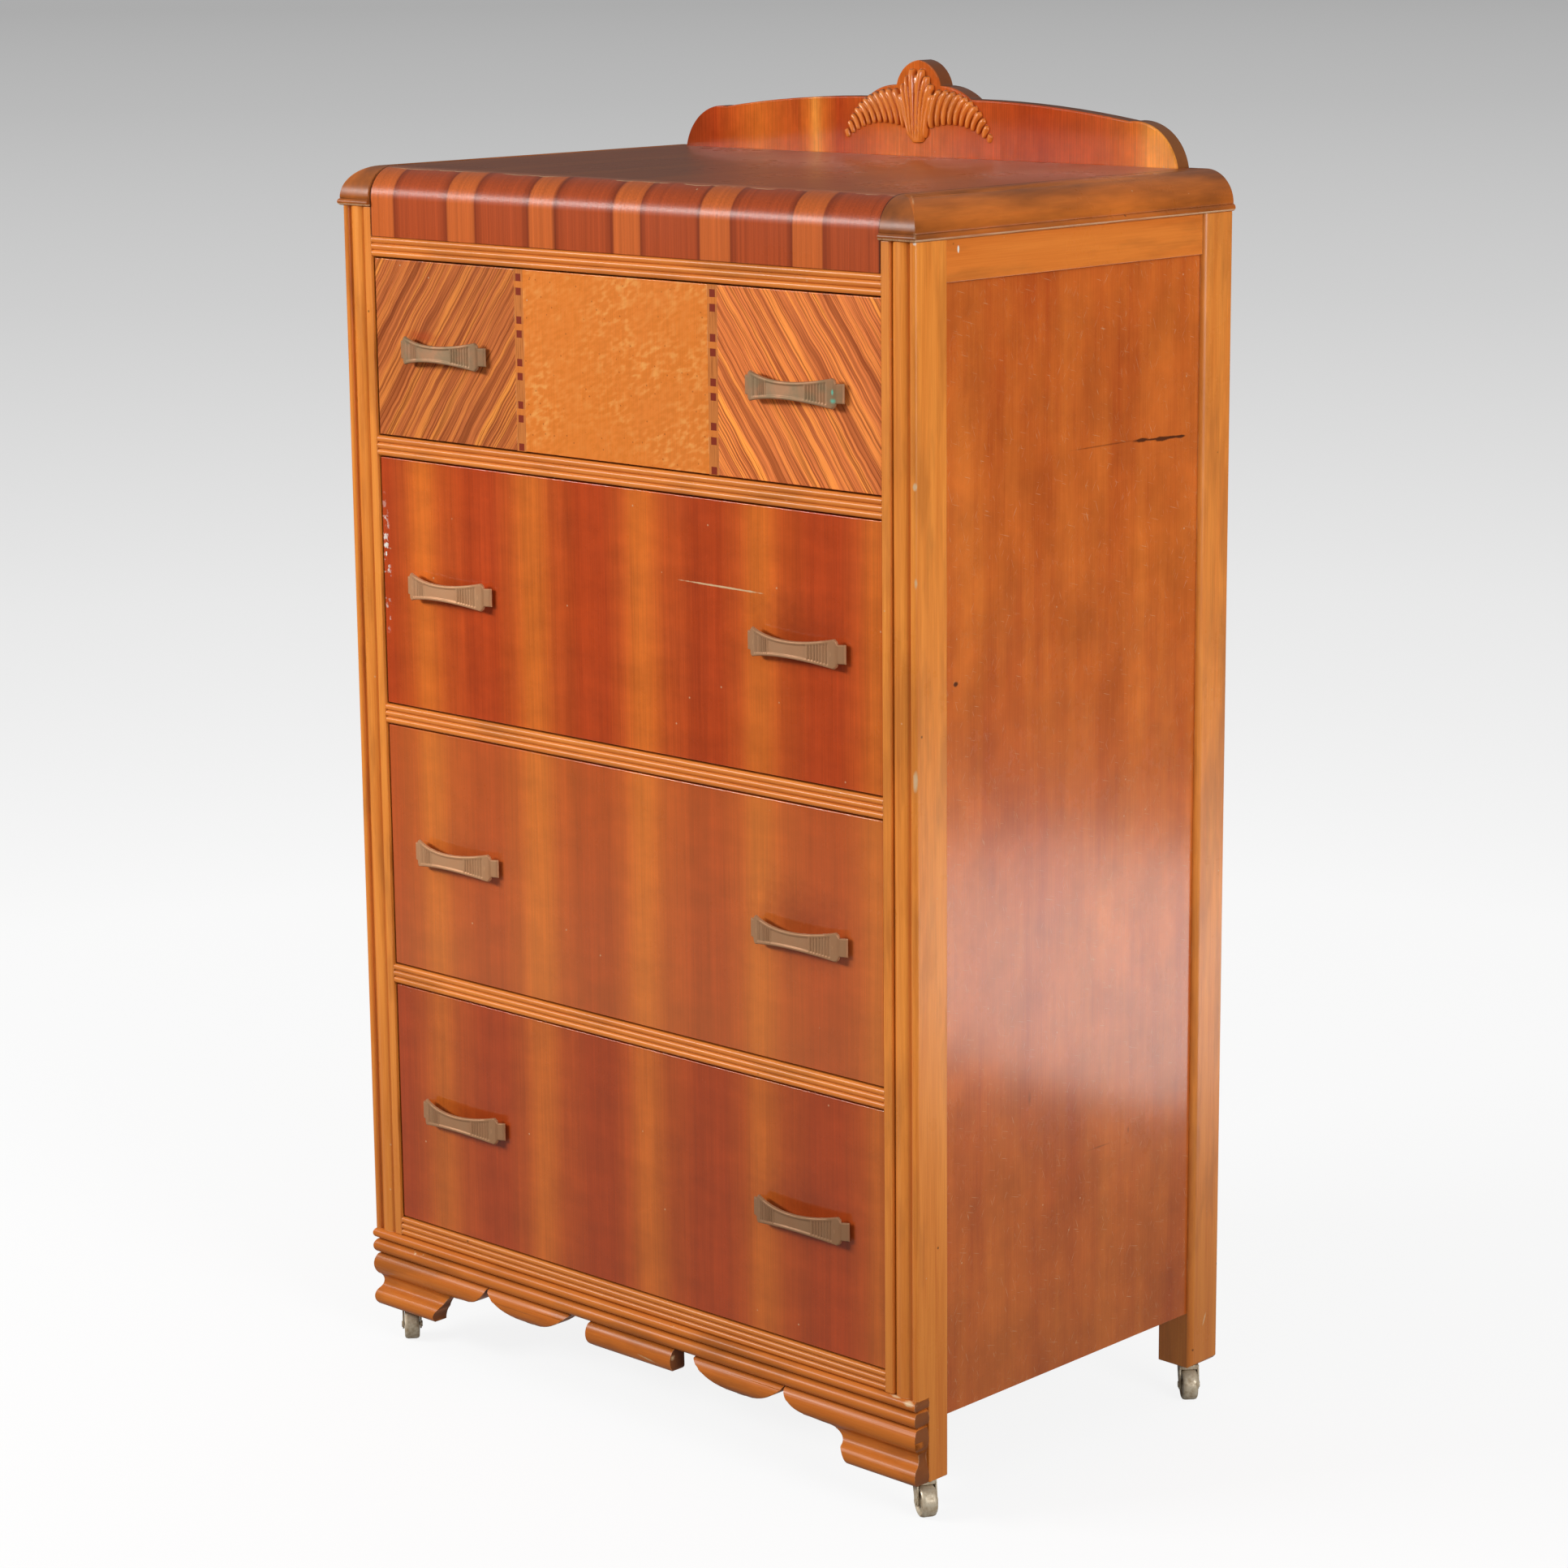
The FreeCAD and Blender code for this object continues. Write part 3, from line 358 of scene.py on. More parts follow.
# The same for the deep and the faint scratches of the side panels.
DEEP_SCRATCHES = (
    ((PANEL_SIDE, 0.14, 0.9853), (6 * MM, 38 * MM, 1.5 * MM), 0.4, (-0.03, 0, 0)),
    ((PANEL_SIDE, 0.108, 0.9866), (6 * MM, 14 * MM, 2.3 * MM)),
    ((PANEL_SIDE, 0.139, 0.9849), (6 * MM, 14 * MM, 2.7 * MM)),
    ((PANEL_SIDE, 0.168, 0.9842), (6 * MM, 9 * MM, 1.6 * MM)),
    ((PANEL_SIDE, -0.159, 0.792), (4 * MM, 4 * MM, 3 * MM)),
)
FAINT_SCRATCHES = (
    ((PANEL_SIDE, 0.05, 0.9875), (6 * MM, 52 * MM, 0.9 * MM)),
    ((PANEL_SIDE, -0.0527, 0.3765), (6 * MM, 2.6 * MM, 9 * MM), 0.8),
    ((PANEL_SIDE, 0.0533, 0.3045), (6 * MM, 21 * MM, 1.1 * MM), 0.8),
    ((PANEL_SIDE, 0.098, 0.311), (6 * MM, 1.8 * MM, 4 * MM), 0.8),
)


def stains(tree, marks):
    """One mask of several soft spots."""
    return any_of(tree, [stain(tree, *mark) for mark in marks])


def mitred_return(tree, x, y):
    """Mask of the top moulding's front return, ahead of its mitre, for its end grain; it grows stronger to the right as
    painted shade.
    """
    lean = 0.78
    outward = add(tree, "Math", {0: x}, operation="ABSOLUTE")
    ahead = add(tree, "Math", {0: outward, 1: lean, 2: y}, operation="MULTIPLY_ADD")
    turn = add(tree, "Math", {0: ahead, 1: lean * POST_SIDE + POST_FRONT}, operation="LESS_THAN")
    # Painted shade: the return is made darker towards the right.
    browned = add(tree, "MapRange", {"Value": x, "From Min": -0.1, "From Max": 0.1, "To Min": 0.25, "To Max": 0.4})
    return add(tree, "Math", {0: turn, 1: browned}, operation="MULTIPLY")


def amber_gumwood(sizes, colours, kind):
    """Stained gumwood under amber lacquer: orange-gold, streaked and browned along the grain, dark on its end grain."""
    axis, brown, red, film, coat = AMBER[kind]
    material, tree, shader = begin("amber_lacquered_gumwood_" + kind)
    source, x, y, z = places(tree, "XYZ")
    fine = fibres(tree, sizes.fibre, 60 * MM, axis)
    broad = fibres(tree, 11 * MM, 340 * MM, axis, detail=2.0)
    both = add(tree, "Mix", {0: 0.5, 2: fine, 3: broad})
    colour = add(tree, "ValToRGB", {0: both}, stops=[(0.3, colours.amber_dark), (0.66, colours.amber_light)])
    heavy = fibres(tree, 30 * MM, 150 * MM, axis, detail=4.0)
    heavy = add(tree, "MapRange", {"Value": heavy, "From Min": 0.62 - 0.45 * brown, "From Max": 0.64, "To Max": brown})
    # Browner towards the floor.
    foot = add(tree, "MapRange", {"Value": z, "From Min": 0.45, "From Max": 0.08, "To Max": 0.35})
    coats = [(red, colours.band_light), (any_of(tree, [heavy, foot]), colours.amber_brown)]
    if kind == "top_moulding":
        rim = add(tree, "Math", {0: z, 1: TOP - 37.6 * MM, 2: 0.8 * MM}, operation="COMPARE")
        broken = add(tree, "MapRange", {"Value": fine, "From Min": 0.3, "From Max": 0.55, "To Max": 0.8})
        rim = add(tree, "Math", {0: rim, 1: broken}, operation="MULTIPLY")
        coats += [(mitred_return(tree, x, y), colours.amber_end_and_shade), (rim, colours.bare)]
    else:
        facing = add(tree, "SeparateXYZ", {0: add(tree, "TexCoord", out="Normal")}, out=axis)
        end = add(tree, "Math", {0: facing}, operation="ABSOLUTE")
        end = add(tree, "MapRange", {"Value": end, "From Min": 0.7, "From Max": 0.9, "To Max": 0.85})
        coats.append((end, colours.amber_end_and_shade))
    coats.append((dots(tree, source, 46 * MM, 0.036, 0.02, 0.7), colours.scratch_dark))
    for marks, under in ((CHIPS.get(kind), colours.bare), (SPLASHES.get(kind), colours.paint)):
        if marks:
            coats.append((stains(tree, marks), under))
    lacquer(tree, shader, colours, layered(tree, colour, *coats), fine, coat=coat, film=film)
    return material


def banded_walnut(sizes, colours):
    """Walnut veneer with upright sapwood bands: red-brown ground, orange bands that fade in and stop short."""
    material, tree, shader = begin("banded_walnut_veneer")
    source, x, z = places(tree, "XZ")
    wander = fibres(tree, 70 * MM, 600 * MM, detail=2.0)
    shift = add(tree, "Math", {0: wander, 1: 26 * MM, 2: x}, operation="MULTIPLY_ADD")
    part = repeated(tree, shift, sizes.band_peak + 13 * MM, sizes.band_pitch)
    colour = add(tree, "ValToRGB", {0: part}, stops=[
        (0.0, colours.band_light), (1.0, colours.band_light), (0.06, colours.band_light),
        (0.22, colours.band_middle), (0.45, colours.band_dark), (0.68, colours.band_dark),
        (0.84, colours.band_middle), (0.97, colours.band_light)])
    fine = fibres(tree, sizes.fibre, 90 * MM)
    broad = fibres(tree, 14 * MM, 700 * MM, detail=2.0)
    streak = add(tree, "Mix", {0: 0.5, 2: fine, 3: broad})
    streak = add(tree, "MapRange", {"Value": streak, "From Min": 0.25, "From Max": 0.75, "To Min": 0.72,
                                    "To Max": 1.25})
    mottle = cloudy(tree, source, (46 * MM, 46 * MM, 26 * MM), 0.88, 1.09)
    # Lighter towards the top and darker towards the bottom of the drawer fronts.
    by_height = add(tree, "MapRange", {"Value": z, "From Min": 0.2, "From Max": 0.9, "To Min": 0.92, "To Max": 1.08})
    colour = toned(tree, colour, streak, mottle, by_height)
    # Browner towards the bottom, below half a metre.
    low_brown = add(tree, "MapRange", {"Value": z, "From Min": 0.5, "From Max": 0.4, "To Max": 0.18})
    # Painted sheen: drawer 3 is laid over with a little light maple colour, as the reflection that veils it.
    low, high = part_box("drawer_3_front")
    painted_sheen = add(tree, "Math", {0: z, 1: (low.z + high.z) / 2, 2: (high.z - low.z) / 2 + MM}, operation="COMPARE")
    painted_sheen = add(tree, "Math", {0: painted_sheen, 1: 0.12}, operation="MULTIPLY")
    # Darker patches beside the pulls of drawers 2 to 4.
    marks = []
    for number in (2, 3, 4):
        low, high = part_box("drawer_%d_pulls" % number)
        level = (low.z + high.z) / 2
        marks.append(((high.x - sizes.pull_half, FACE, level + 12 * MM), (78 * MM, 20 * MM, 44 * MM), 0.9))
        marks.append(((low.x + sizes.pull_half, FACE, level), (60 * MM, 20 * MM, 22 * MM), 0.9))
    near_pulls = add(tree, "Math", {0: stains(tree, marks), 1: 0.45}, operation="MULTIPLY")
    scratch = stain(tree, (0.139, FACE, 0.863), (58 * MM, 5 * MM, 1.0 * MM), 0.3, (0, 0.012, 0))
    splash = add(tree, "TexNoise", {"Vector": source, "Scale": 1 / (5 * MM), "Detail": 4.0})
    splash = add(tree, "MapRange", {"Value": splash, "From Min": 0.56, "From Max": 0.6})
    where = stain(tree, (-0.334, FACE, 0.836), (7 * MM, 6 * MM, 78 * MM), 0.8)
    splash = add(tree, "Math", {0: splash, 1: where}, operation="MULTIPLY")
    colour = layered(tree, colour, (low_brown, colours.amber_brown), (painted_sheen, colours.maple_light_and_sheen),
                     (near_pulls, colours.strip_line), (scratch, colours.bare), (splash, colours.paint))
    lacquer(tree, shader, colours, colour, fine, gloss=0.2, dull=0.36, rub=0.3)
    return material


def side_walnut(sizes, colours):
    """Plain walnut veneer on the sides: soft upright figure, cloudy colour, one dark dragged scratch."""
    material, tree, shader = begin("side_walnut_veneer")
    source, z = places(tree, "Z")
    fine = fibres(tree, sizes.fibre, 70 * MM)
    broad = fibres(tree, 26 * MM, 420 * MM)
    cloud = fibres(tree, 120 * MM, 260 * MM)
    both = add(tree, "Mix", {0: 0.62, 2: fine, 3: broad})
    both = add(tree, "Mix", {0: 0.4, 2: both, 3: cloud})
    colour = add(tree, "ValToRGB", {0: both}, stops=[(0.34, colours.side_dark), (0.63, colours.side_light)])
    low = add(tree, "MapRange", {"Value": z, "From Min": 0.08, "From Max": 0.5, "To Min": 0.72, "To Max": 1.0})
    colour = toned(tree, colour, cloudy(tree, source, [55 * MM] * 3, 0.82, 1.1), low)
    coats = []
    for turn in (0.35, -0.5, 1.3):
        place = add(tree, "Mapping", {"Vector": source, "Rotation": (turn, 0, 0),
                                      "Scale": (0.8 * MM, 0.8 * MM, 17 * MM)}, vector_type="TEXTURE")
        hair = add(tree, "TexNoise", {"Vector": place, "Scale": 1.0, "Detail": 1.0})
        hair = add(tree, "MapRange", {"Value": hair, "From Min": 0.73, "From Max": 0.78, "To Max": 0.5})
        coats.append((hair, colours.bare))
    dragged = [add(tree, "Math", {0: stains(tree, marks), 1: weight}, operation="MULTIPLY")
               for marks, weight in ((DEEP_SCRATCHES, 0.9), (FAINT_SCRATCHES, 0.4))]
    scuffed = fibres(tree, 1.4 * MM, 22 * MM, "Y", detail=4.0)
    scuffed = add(tree, "MapRange", {"Value": scuffed, "From Min": 0.62, "From Max": 0.7, "To Max": 0.4})
    where = stain(tree, (PANEL_SIDE, 0.09, 0.553), (6 * MM, 110 * MM, 60 * MM), 0.9)
    scuffed = add(tree, "Math", {0: scuffed, 1: where}, operation="MULTIPLY")
    colour = layered(tree, colour, *coats, (any_of(tree, dragged), colours.scratch_dark), (scuffed, colours.bare))
    # The higher corner level paints more shade: a dark line under the side rail and beside the posts.
    lacquer(tree, shader, colours, colour, fine, gloss=0.2, dull=0.34, corner_shade_level=0.85)
    return material


def board_walnut(sizes, colours):
    """Walnut veneer of the backboard: the same figure in fewer, uneven bands, pale at the right end, with painted shade
    on its edges.
    """
    material, tree, shader = begin("backboard_walnut_veneer")
    source, x, y = places(tree, "XY")
    wander = fibres(tree, 50 * MM, 300 * MM, detail=2.0)
    shift = add(tree, "Math", {0: wander, 1: 30 * MM, 2: x}, operation="MULTIPLY_ADD")
    place = add(tree, "MapRange", {"Value": shift, "From Min": -0.314, "From Max": 0.344})
    colour = add(tree, "ValToRGB", {0: place}, stops=[
        (0.0, colours.strip_line), (1.0, colours.amber_light), (0.07, colours.band_dark),
        (0.17, colours.band_light), (0.24, colours.band_middle), (0.268, colours.band_light),
        (0.287, colours.amber_light), (0.306, colours.band_light), (0.335, colours.band_dark),
        (0.47, colours.band_light), (0.6, colours.band_middle), (0.74, colours.band_dark),
        (0.86, colours.band_middle), (0.92, colours.band_light), (0.95, colours.amber_light)])
    fine = fibres(tree, sizes.fibre, 60 * MM)
    streak = add(tree, "MapRange", {"Value": fine, "From Min": 0.25, "From Max": 0.75, "To Min": 0.75,
                                    "To Max": 1.22})
    colour = toned(tree, colour, streak, cloudy(tree, source, (24 * MM, 24 * MM, 34 * MM), 0.76, 1.08))
    # Painted shade: the board's top and back edges are darkened with the end-grain colour.
    edge = add(tree, "MapRange", {"Value": y, "From Min": BOARD_FRONT + 1.5 * MM, "From Max": BOARD_FRONT + 2.5 * MM,
                                  "To Max": 0.9})
    colour = layered(tree, colour, (edge, colours.amber_end_and_shade))
    lacquer(tree, shader, colours, colour, fine, gloss=0.14, dull=0.24, coat=0.12, film=0.15, mirror=0.04)
    return material


def rolled_walnut(sizes, colours):
    """Strips of walnut laid side by side and bent over the front edge, painted darker towards the top as shade; the
    flat behind is dull and worn, with painted reflection on it.
    """
    material, tree, shader = begin("rolled_walnut_strips")
    source, x, y, z = places(tree, "XYZ")
    over = add(tree, "VectorMath", {0: source, 1: (1, 0, 0)}, operation="MULTIPLY")
    wander = fibres(tree, 34 * MM, 900 * MM, "Y", source=over, detail=2.0)
    shift = add(tree, "Math", {0: wander, 1: 22 * MM, 2: x}, operation="MULTIPLY_ADD")
    part = repeated(tree, shift, sizes.strip_middle + 11 * MM - sizes.strip_pitch / 2, sizes.strip_pitch)
    half = sizes.strip_width / sizes.strip_pitch / 2
    seam = 0.02
    colour = add(tree, "ValToRGB", {0: part}, stops=[
        (0.0, colours.strip_dark), (1.0, colours.strip_dark), (0.24, colours.strip_dark),
        (0.5 - half - seam, colours.strip_line), (0.5 - half, colours.strip_light_and_reflection), (0.5, colours.strip_light_and_reflection),
        (0.5 + half, colours.strip_light_and_reflection), (0.5 + half + seam, colours.strip_line), (0.76, colours.strip_dark)])
    lengthways = fibres(tree, sizes.fibre, 200 * MM, "Y")
    upright = fibres(tree, sizes.fibre, 200 * MM)
    on_flat = add(tree, "MapRange", {"Value": z, "From Min": TOP - 9 * MM, "From Max": TOP - 2 * MM})
    fine = add(tree, "Mix", {0: on_flat, 2: upright, 3: lengthways})
    broad = fibres(tree, 6 * MM, 900 * MM, "Y", source=over, detail=4.0)
    streaky = add(tree, "Mix", {0: 0.55, 2: fine, 3: broad})
    streak = add(tree, "MapRange", {"Value": streaky, "From Min": 0.28, "From Max": 0.72, "To Min": 0.6,
                                    "To Max": 1.38})
    # Painted shade: the roll is darkened towards the top, where it turns up away from the light.
    browned = add(tree, "MapRange", {"Value": z, "From Min": TOP - 24 * MM, "From Max": TOP - 5 * MM, "To Min": 1.0,
                                     "To Max": 0.72})
    colour = toned(tree, colour, streak, browned)
    ragged = add(tree, "TexNoise", {"Vector": source, "Scale": 1 / (30 * MM), "Detail": 6.0})
    level = add(tree, "Math", {0: ragged, 1: 3 * MM, 2: z}, operation="MULTIPLY_ADD")
    worn = add(tree, "MapRange", {"Value": level, "From Min": TOP, "From Max": TOP + 0.5 * MM, "To Max": 0.85})
    # Painted reflection: towards the back and right the flat takes the light strip colour, as the backboard mirrored in
    # it.
    painted_board_reflection = add(tree, "Math", {0: y, 1: 0.5, 2: x}, operation="MULTIPLY_ADD")
    painted_board_reflection = add(tree, "MapRange", {"Value": painted_board_reflection, "From Min": -0.08, "From Max": 0.06, "To Max": 0.5})
    flat = layered(tree, colours.top_worn_and_reflection, (painted_board_reflection, colours.strip_light_and_reflection))
    line = add(tree, "Math", {0: level, 1: TOP + 0.2 * MM, 2: 0.25 * MM}, operation="COMPARE")
    broken = add(tree, "MapRange", {"Value": ragged, "From Min": 0.48, "From Max": 0.58, "To Max": 0.45})
    line = add(tree, "Math", {0: line, 1: broken}, operation="MULTIPLY")
    beside = add(tree, "Math", {0: x}, operation="ABSOLUTE")
    joint = add(tree, "Math", {0: beside, 1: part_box("top_panel")[1].x, 2: 2.2 * MM}, operation="COMPARE")
    joint = add(tree, "Math", {0: joint, 1: 0.75}, operation="MULTIPLY")
    rear = add(tree, "SeparateXYZ", {0: add(tree, "TexCoord", out="Normal")}, out="Y")
    rear = add(tree, "MapRange", {"Value": rear, "From Min": 0.6, "From Max": 0.8})
    colour = layered(tree, colour, (worn, flat), (line, colours.bare), (joint, colours.scratch_dark),
                     (rear, colours.bare))
    lacquer(tree, shader, colours, colour, streaky, gloss=0.24, dull=0.36, depth=0.7 * MM, coat=0.28, film=0.3,
            mirror=0.06)
    return material


def drawer_marquetry(sizes, colours):
    """Top drawer face: book-matched striped veneer slanting up to a panel of bird's-eye maple."""
    material, tree, shader = begin("zebrawood_and_birds_eye_maple")
    source, x = places(tree, "X")
    folded = add(tree, "VectorMath", {0: source}, operation="ABSOLUTE")
    slant = -math.radians(37)
    sway = add(tree, "TexNoise", {"Vector": folded, "Scale": 1 / (60 * MM), "Detail": 2.0}, out="Color")
    swayed = add(tree, "VectorMath", {0: sway, 1: (10 * MM, 0, 0), 2: folded}, operation="MULTIPLY_ADD")
    lines = fibres(tree, sizes.zebra_pitch, 240 * MM, source=swayed, turn=slant, detail=2.0)
    fine = fibres(tree, 0.6 * sizes.fibre, 45 * MM, source=swayed, turn=slant)
    broad = fibres(tree, 9 * MM, 420 * MM, source=swayed, turn=slant, detail=2.0)
    striped = add(tree, "ValToRGB", {0: broad}, stops=[
        (0.24, colours.zebra_dark), (0.7, colours.zebra_light), (0.45, colours.zebra_middle)])
    dark = add(tree, "MapRange", {"Value": lines, "From Min": 0.5, "From Max": 0.38, "To Max": 0.75})
    thin = add(tree, "MapRange", {"Value": fine, "From Min": 0.48, "From Max": 0.34, "To Max": 0.5})
    striped = layered(tree, striped, (dark, colours.zebra_dark), (thin, colours.zebra_dark))
    golden = add(tree, "MapRange", {"Value": x, "From Min": -0.15, "From Max": 0.15, "To Min": 1.12, "To Max": 1.64})
    striped = toned(tree, striped, golden)
    place = add(tree, "Mapping", {"Vector": source, "Rotation": (0, math.radians(-22), 0),
                                  "Scale": (10 * MM, 10 * MM, 4.5 * MM)}, vector_type="TEXTURE")
    curl = add(tree, "TexNoise", {"Vector": place, "Scale": 1.0, "Detail": 1.5})
    maple = add(tree, "ValToRGB", {0: curl}, stops=[(0.32, colours.maple_dark), (0.5, colours.maple_ground)])
    patch = add(tree, "TexNoise", {"Vector": source, "Scale": 1 / (48 * MM), "Detail": 3.0})
    patch = add(tree, "MapRange", {"Value": patch, "From Min": 0.4, "From Max": 0.6, "To Min": 0.1,
                                   "To Max": 0.75})
    fleck = add(tree, "MapRange", {"Value": curl, "From Min": 0.48, "From Max": 0.72, "To Max": patch})
    eyes = dots(tree, source, 9 * MM, 0.12, 0.06, 0.5)
    maple = layered(tree, maple, (fleck, colours.maple_light_and_sheen), (eyes, colours.zebra_dark))
    plain = fibres(tree, sizes.fibre, 40 * MM)
    plain = add(tree, "MapRange", {"Value": plain, "From Min": 0.25, "From Max": 0.75, "To Min": 0.93, "To Max": 1.07})
    maple = toned(tree, maple, plain)
    across = add(tree, "SeparateXYZ", {0: folded}, out="X")
    middle = add(tree, "Math", {0: across, 1: sizes.maple_half}, operation="LESS_THAN")
    low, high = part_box("drawer_1_pulls")
    # Darker patch above the left pull.
    near_pulls = stain(tree, (low.x + 26 * MM, FACE, high.z), (34 * MM, 20 * MM, 7 * MM), 0.9)
    near_pulls = add(tree, "Math", {0: near_pulls, 1: 0.5}, operation="MULTIPLY")
    colour = layered(tree, striped, (middle, maple), (near_pulls, colours.band_dark))
    lacquer(tree, shader, colours, colour, fine, gloss=0.22, dull=0.36, film=0.35)
    return material


def inlay_strip(sizes, colours):
    """Strip of end-matched veneer: pairs of dark dyed squares on an amber ground."""
    material, tree, shader = begin("inlaid_veneer_squares")
    x, z = places(tree, "XZ")[1:]
    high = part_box("drawer_1_inlay")[1]
    drop = add(tree, "Math", {0: high.z - sizes.inlay_first, 1: z}, operation="SUBTRACT")
    part = repeated(tree, drop, -sizes.inlay_pitch / 2, sizes.inlay_pitch)
    part = add(tree, "Math", {0: part, 1: 0.5}, operation="SUBTRACT")
    part = add(tree, "Math", {0: part}, operation="ABSOLUTE")
    half = sizes.inlay_square / 2
    square = add(tree, "Math", {0: part, 1: sizes.inlay_gap / 2 / sizes.inlay_pitch, 2: half / sizes.inlay_pitch},
                 operation="COMPARE")
    across = add(tree, "Math", {0: x}, operation="ABSOLUTE")
    middle = high.x - (high.x - sizes.maple_half) / 2
    column = add(tree, "Math", {0: across, 1: middle, 2: half}, operation="COMPARE")
    square = add(tree, "Math", {0: square, 1: column}, operation="MULTIPLY")
    fine = fibres(tree, sizes.fibre, 30 * MM)
    colour = add(tree, "ValToRGB", {0: fine}, stops=[(0.1, colours.zebra_dark), (0.5, colours.inlay_ground)])
    inner = add(tree, "Math", {0: part, 1: (sizes.inlay_gap / 2 - half) / sizes.inlay_pitch}, operation="LESS_THAN")
    inner = add(tree, "Math", {0: inner, 1: 0.6}, operation="MULTIPLY")
    colour = layered(tree, colour, (inner, colours.maple_ground), (square, colours.inlay_dark))
    hazy = add(tree, "MapRange", {"Value": fine, "To Min": 0.24, "To Max": 0.38})
    bump = add(tree, "Bump", {"Height": fine, "Strength": 0.3, "Distance": 0.03 * MM})
    wire(tree, shader, {"Base Color": colour, "Roughness": hazy, "Normal": bump, "Specular IOR Level": 0.12,
                        "Coat Weight": 0.6, "Coat Roughness": 0.15})
    return material


def bare_wood(sizes, colours, kind, axis):
    """Sawn wood left unfinished inside: pale, dry and fuzzy, with darker late-wood lines, and dust with painted shade
    in the corners.
    """
    material, tree, shader = begin("bare_%s_%s" % (kind, axis.lower()))
    light = getattr(colours, kind + "_light")
    dark = getattr(colours, kind + "_dark")
    fine = fibres(tree, sizes.fibre, 50 * MM, axis, detail=4.0)
    broad = fibres(tree, 16 * MM, 380 * MM, axis)
    both = add(tree, "Mix", {0: 0.55, 2: fine, 3: broad})
    colour = add(tree, "ValToRGB", {0: both}, stops=[(0.32, dark), (0.64, light)])
    # Dust and painted shade: corners within 25 mm are darkened with the grime colour.
    dust_and_shade = hollows(tree, 25 * MM, 0.8, 0.2, 0.5, samples=6)
    colour = layered(tree, colour, (dust_and_shade, colours.grime_and_shade))
    rough = add(tree, "MapRange", {"Value": fine, "To Min": 0.55, "To Max": 0.8})
    bump = add(tree, "Bump", {"Height": fine, "Strength": 0.6, "Distance": 0.12 * MM})
    wire(tree, shader, {"Base Color": colour, "Roughness": rough, "Normal": bump})
    return material


def antique_bronze(sizes, colours):
    """Cast brass with a brown-green patina: dull, copper on the rubbed crests, dark in the grooves."""
    material, tree, shader = begin("antique_bronze_casting")
    source, x, z = places(tree, "XZ")
    cloud = add(tree, "TexNoise", {"Vector": source, "Scale": 1 / (14 * MM), "Detail": 5.0})
    grit = add(tree, "TexNoise", {"Vector": source, "Scale": 1 / (0.9 * MM), "Detail": 2.0})
    most = add(tree, "MapRange", {"Value": z, "From Min": 0.93, "From Max": 0.97, "To Min": 0.2, "To Max": 0.75})
    aged = add(tree, "MapRange", {"Value": cloud, "From Min": 0.38, "From Max": 0.62, "To Max": most})
    groove = hollows(tree, 2.2 * MM, 0.9, 0.45, 0.85, samples=8, only_local=True)
    crest = hollows(tree, 1.1 * MM, 0.8, 0.45, 0.8, samples=8, inside=True, only_local=True)
    tip = layered(tree, colours.bronze_high, (most, colours.bronze_green))
    low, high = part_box("drawer_1_pulls")
    spot = Vector((high.x - 9 * MM, FACE - 6 * MM, (low.z + high.z) / 2 - 6.5 * MM))
    green = stains(tree, ((spot, (3.4 * MM, 8 * MM, 3.2 * MM), 0.5),
                          (spot + Vector((0, 0, 8 * MM)), (1.2 * MM, 8 * MM, 3.5 * MM), 0.5)))
    colour = layered(tree, colours.bronze, (aged, colours.bronze_green), (groove, colours.bronze_low), (crest, tip),
                     (green, colours.verdigris))
    left = add(tree, "Math", {0: most, 1: -0.6, 2: 1.4}, operation="MULTIPLY_ADD")
    bright = add(tree, "MapRange", {"Value": x, "From Min": -0.1, "From Max": 0.1, "To Min": left, "To Max": 1.0})
    lowest = add(tree, "MapRange", {"Value": z, "From Min": 0.4, "From Max": 0.44, "To Min": 0.76, "To Max": 1.0})
    colour = toned(tree, colour, bright, lowest)
    metal = add(tree, "MapRange", {"Value": green, "To Min": 0.35, "To Max": 0.0})
    rough = add(tree, "MapRange", {"Value": cloud, "From Min": 0.3, "From Max": 0.7, "To Min": 0.48, "To Max": 0.66})
    bump = add(tree, "Bump", {"Height": grit, "Strength": 0.35, "Distance": 0.1 * MM})
    wire(tree, shader, {"Base Color": colour, "Metallic": metal, "Roughness": rough, "Normal": bump})
    return material


def worn_steel(sizes, colours):
    """Plated steel worn by floors: grey metal with brown rust and packed dirt in the hollows."""
    material, tree, shader = begin("worn_plated_steel")
    source = add(tree, "TexCoord", out="Object")
    cloud = add(tree, "TexNoise", {"Vector": source, "Scale": 1 / (5 * MM), "Detail": 8.0, "Roughness": 0.65})
    rusty = add(tree, "MapRange", {"Value": cloud, "From Min": 0.34, "From Max": 0.74})
    dirty = any_of(tree, [rusty, hollows(tree, 2 * MM, 0.8, 0.3, samples=6)])
    colour = layered(tree, colours.steel, (dirty, colours.rust))
    metal = add(tree, "MapRange", {"Value": dirty, "To Min": 0.35, "To Max": 0.05})
    rough = add(tree, "MapRange", {"Value": dirty, "To Min": 0.32, "To Max": 0.75})
    bump = add(tree, "Bump", {"Height": cloud, "Strength": 0.5, "Distance": 0.2 * MM})
    wire(tree, shader, {"Base Color": colour, "Metallic": metal, "Roughness": rough, "Normal": bump})
    return material


def dress(node, material):
    """Gives a solid that stays as it is its material."""
    piece = frame["nodes"][node]
    if not piece.material_slots:
        piece.data.materials.append(material)
    for slot in piece.material_slots:
        slot.material = material


def settle(bm, name, node, material, smooth=35.0):
    """Turns a bmesh into a piece that rides with a node's body and stands for the node."""
    mesh = bpy.data.meshes.new(name)
    bm.to_mesh(mesh)
    bm.free()
    mesh.shade_smooth()
    mesh.set_sharp_from_angle(angle=math.radians(smooth))
    mesh.materials.clear()
    mesh.materials.append(material)
    piece = bpy.data.objects.new(name, mesh)
    bpy.context.scene.collection.objects.link(piece)
    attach(piece, frame["nodes"][node]["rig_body"])
    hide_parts(node)
    return piece


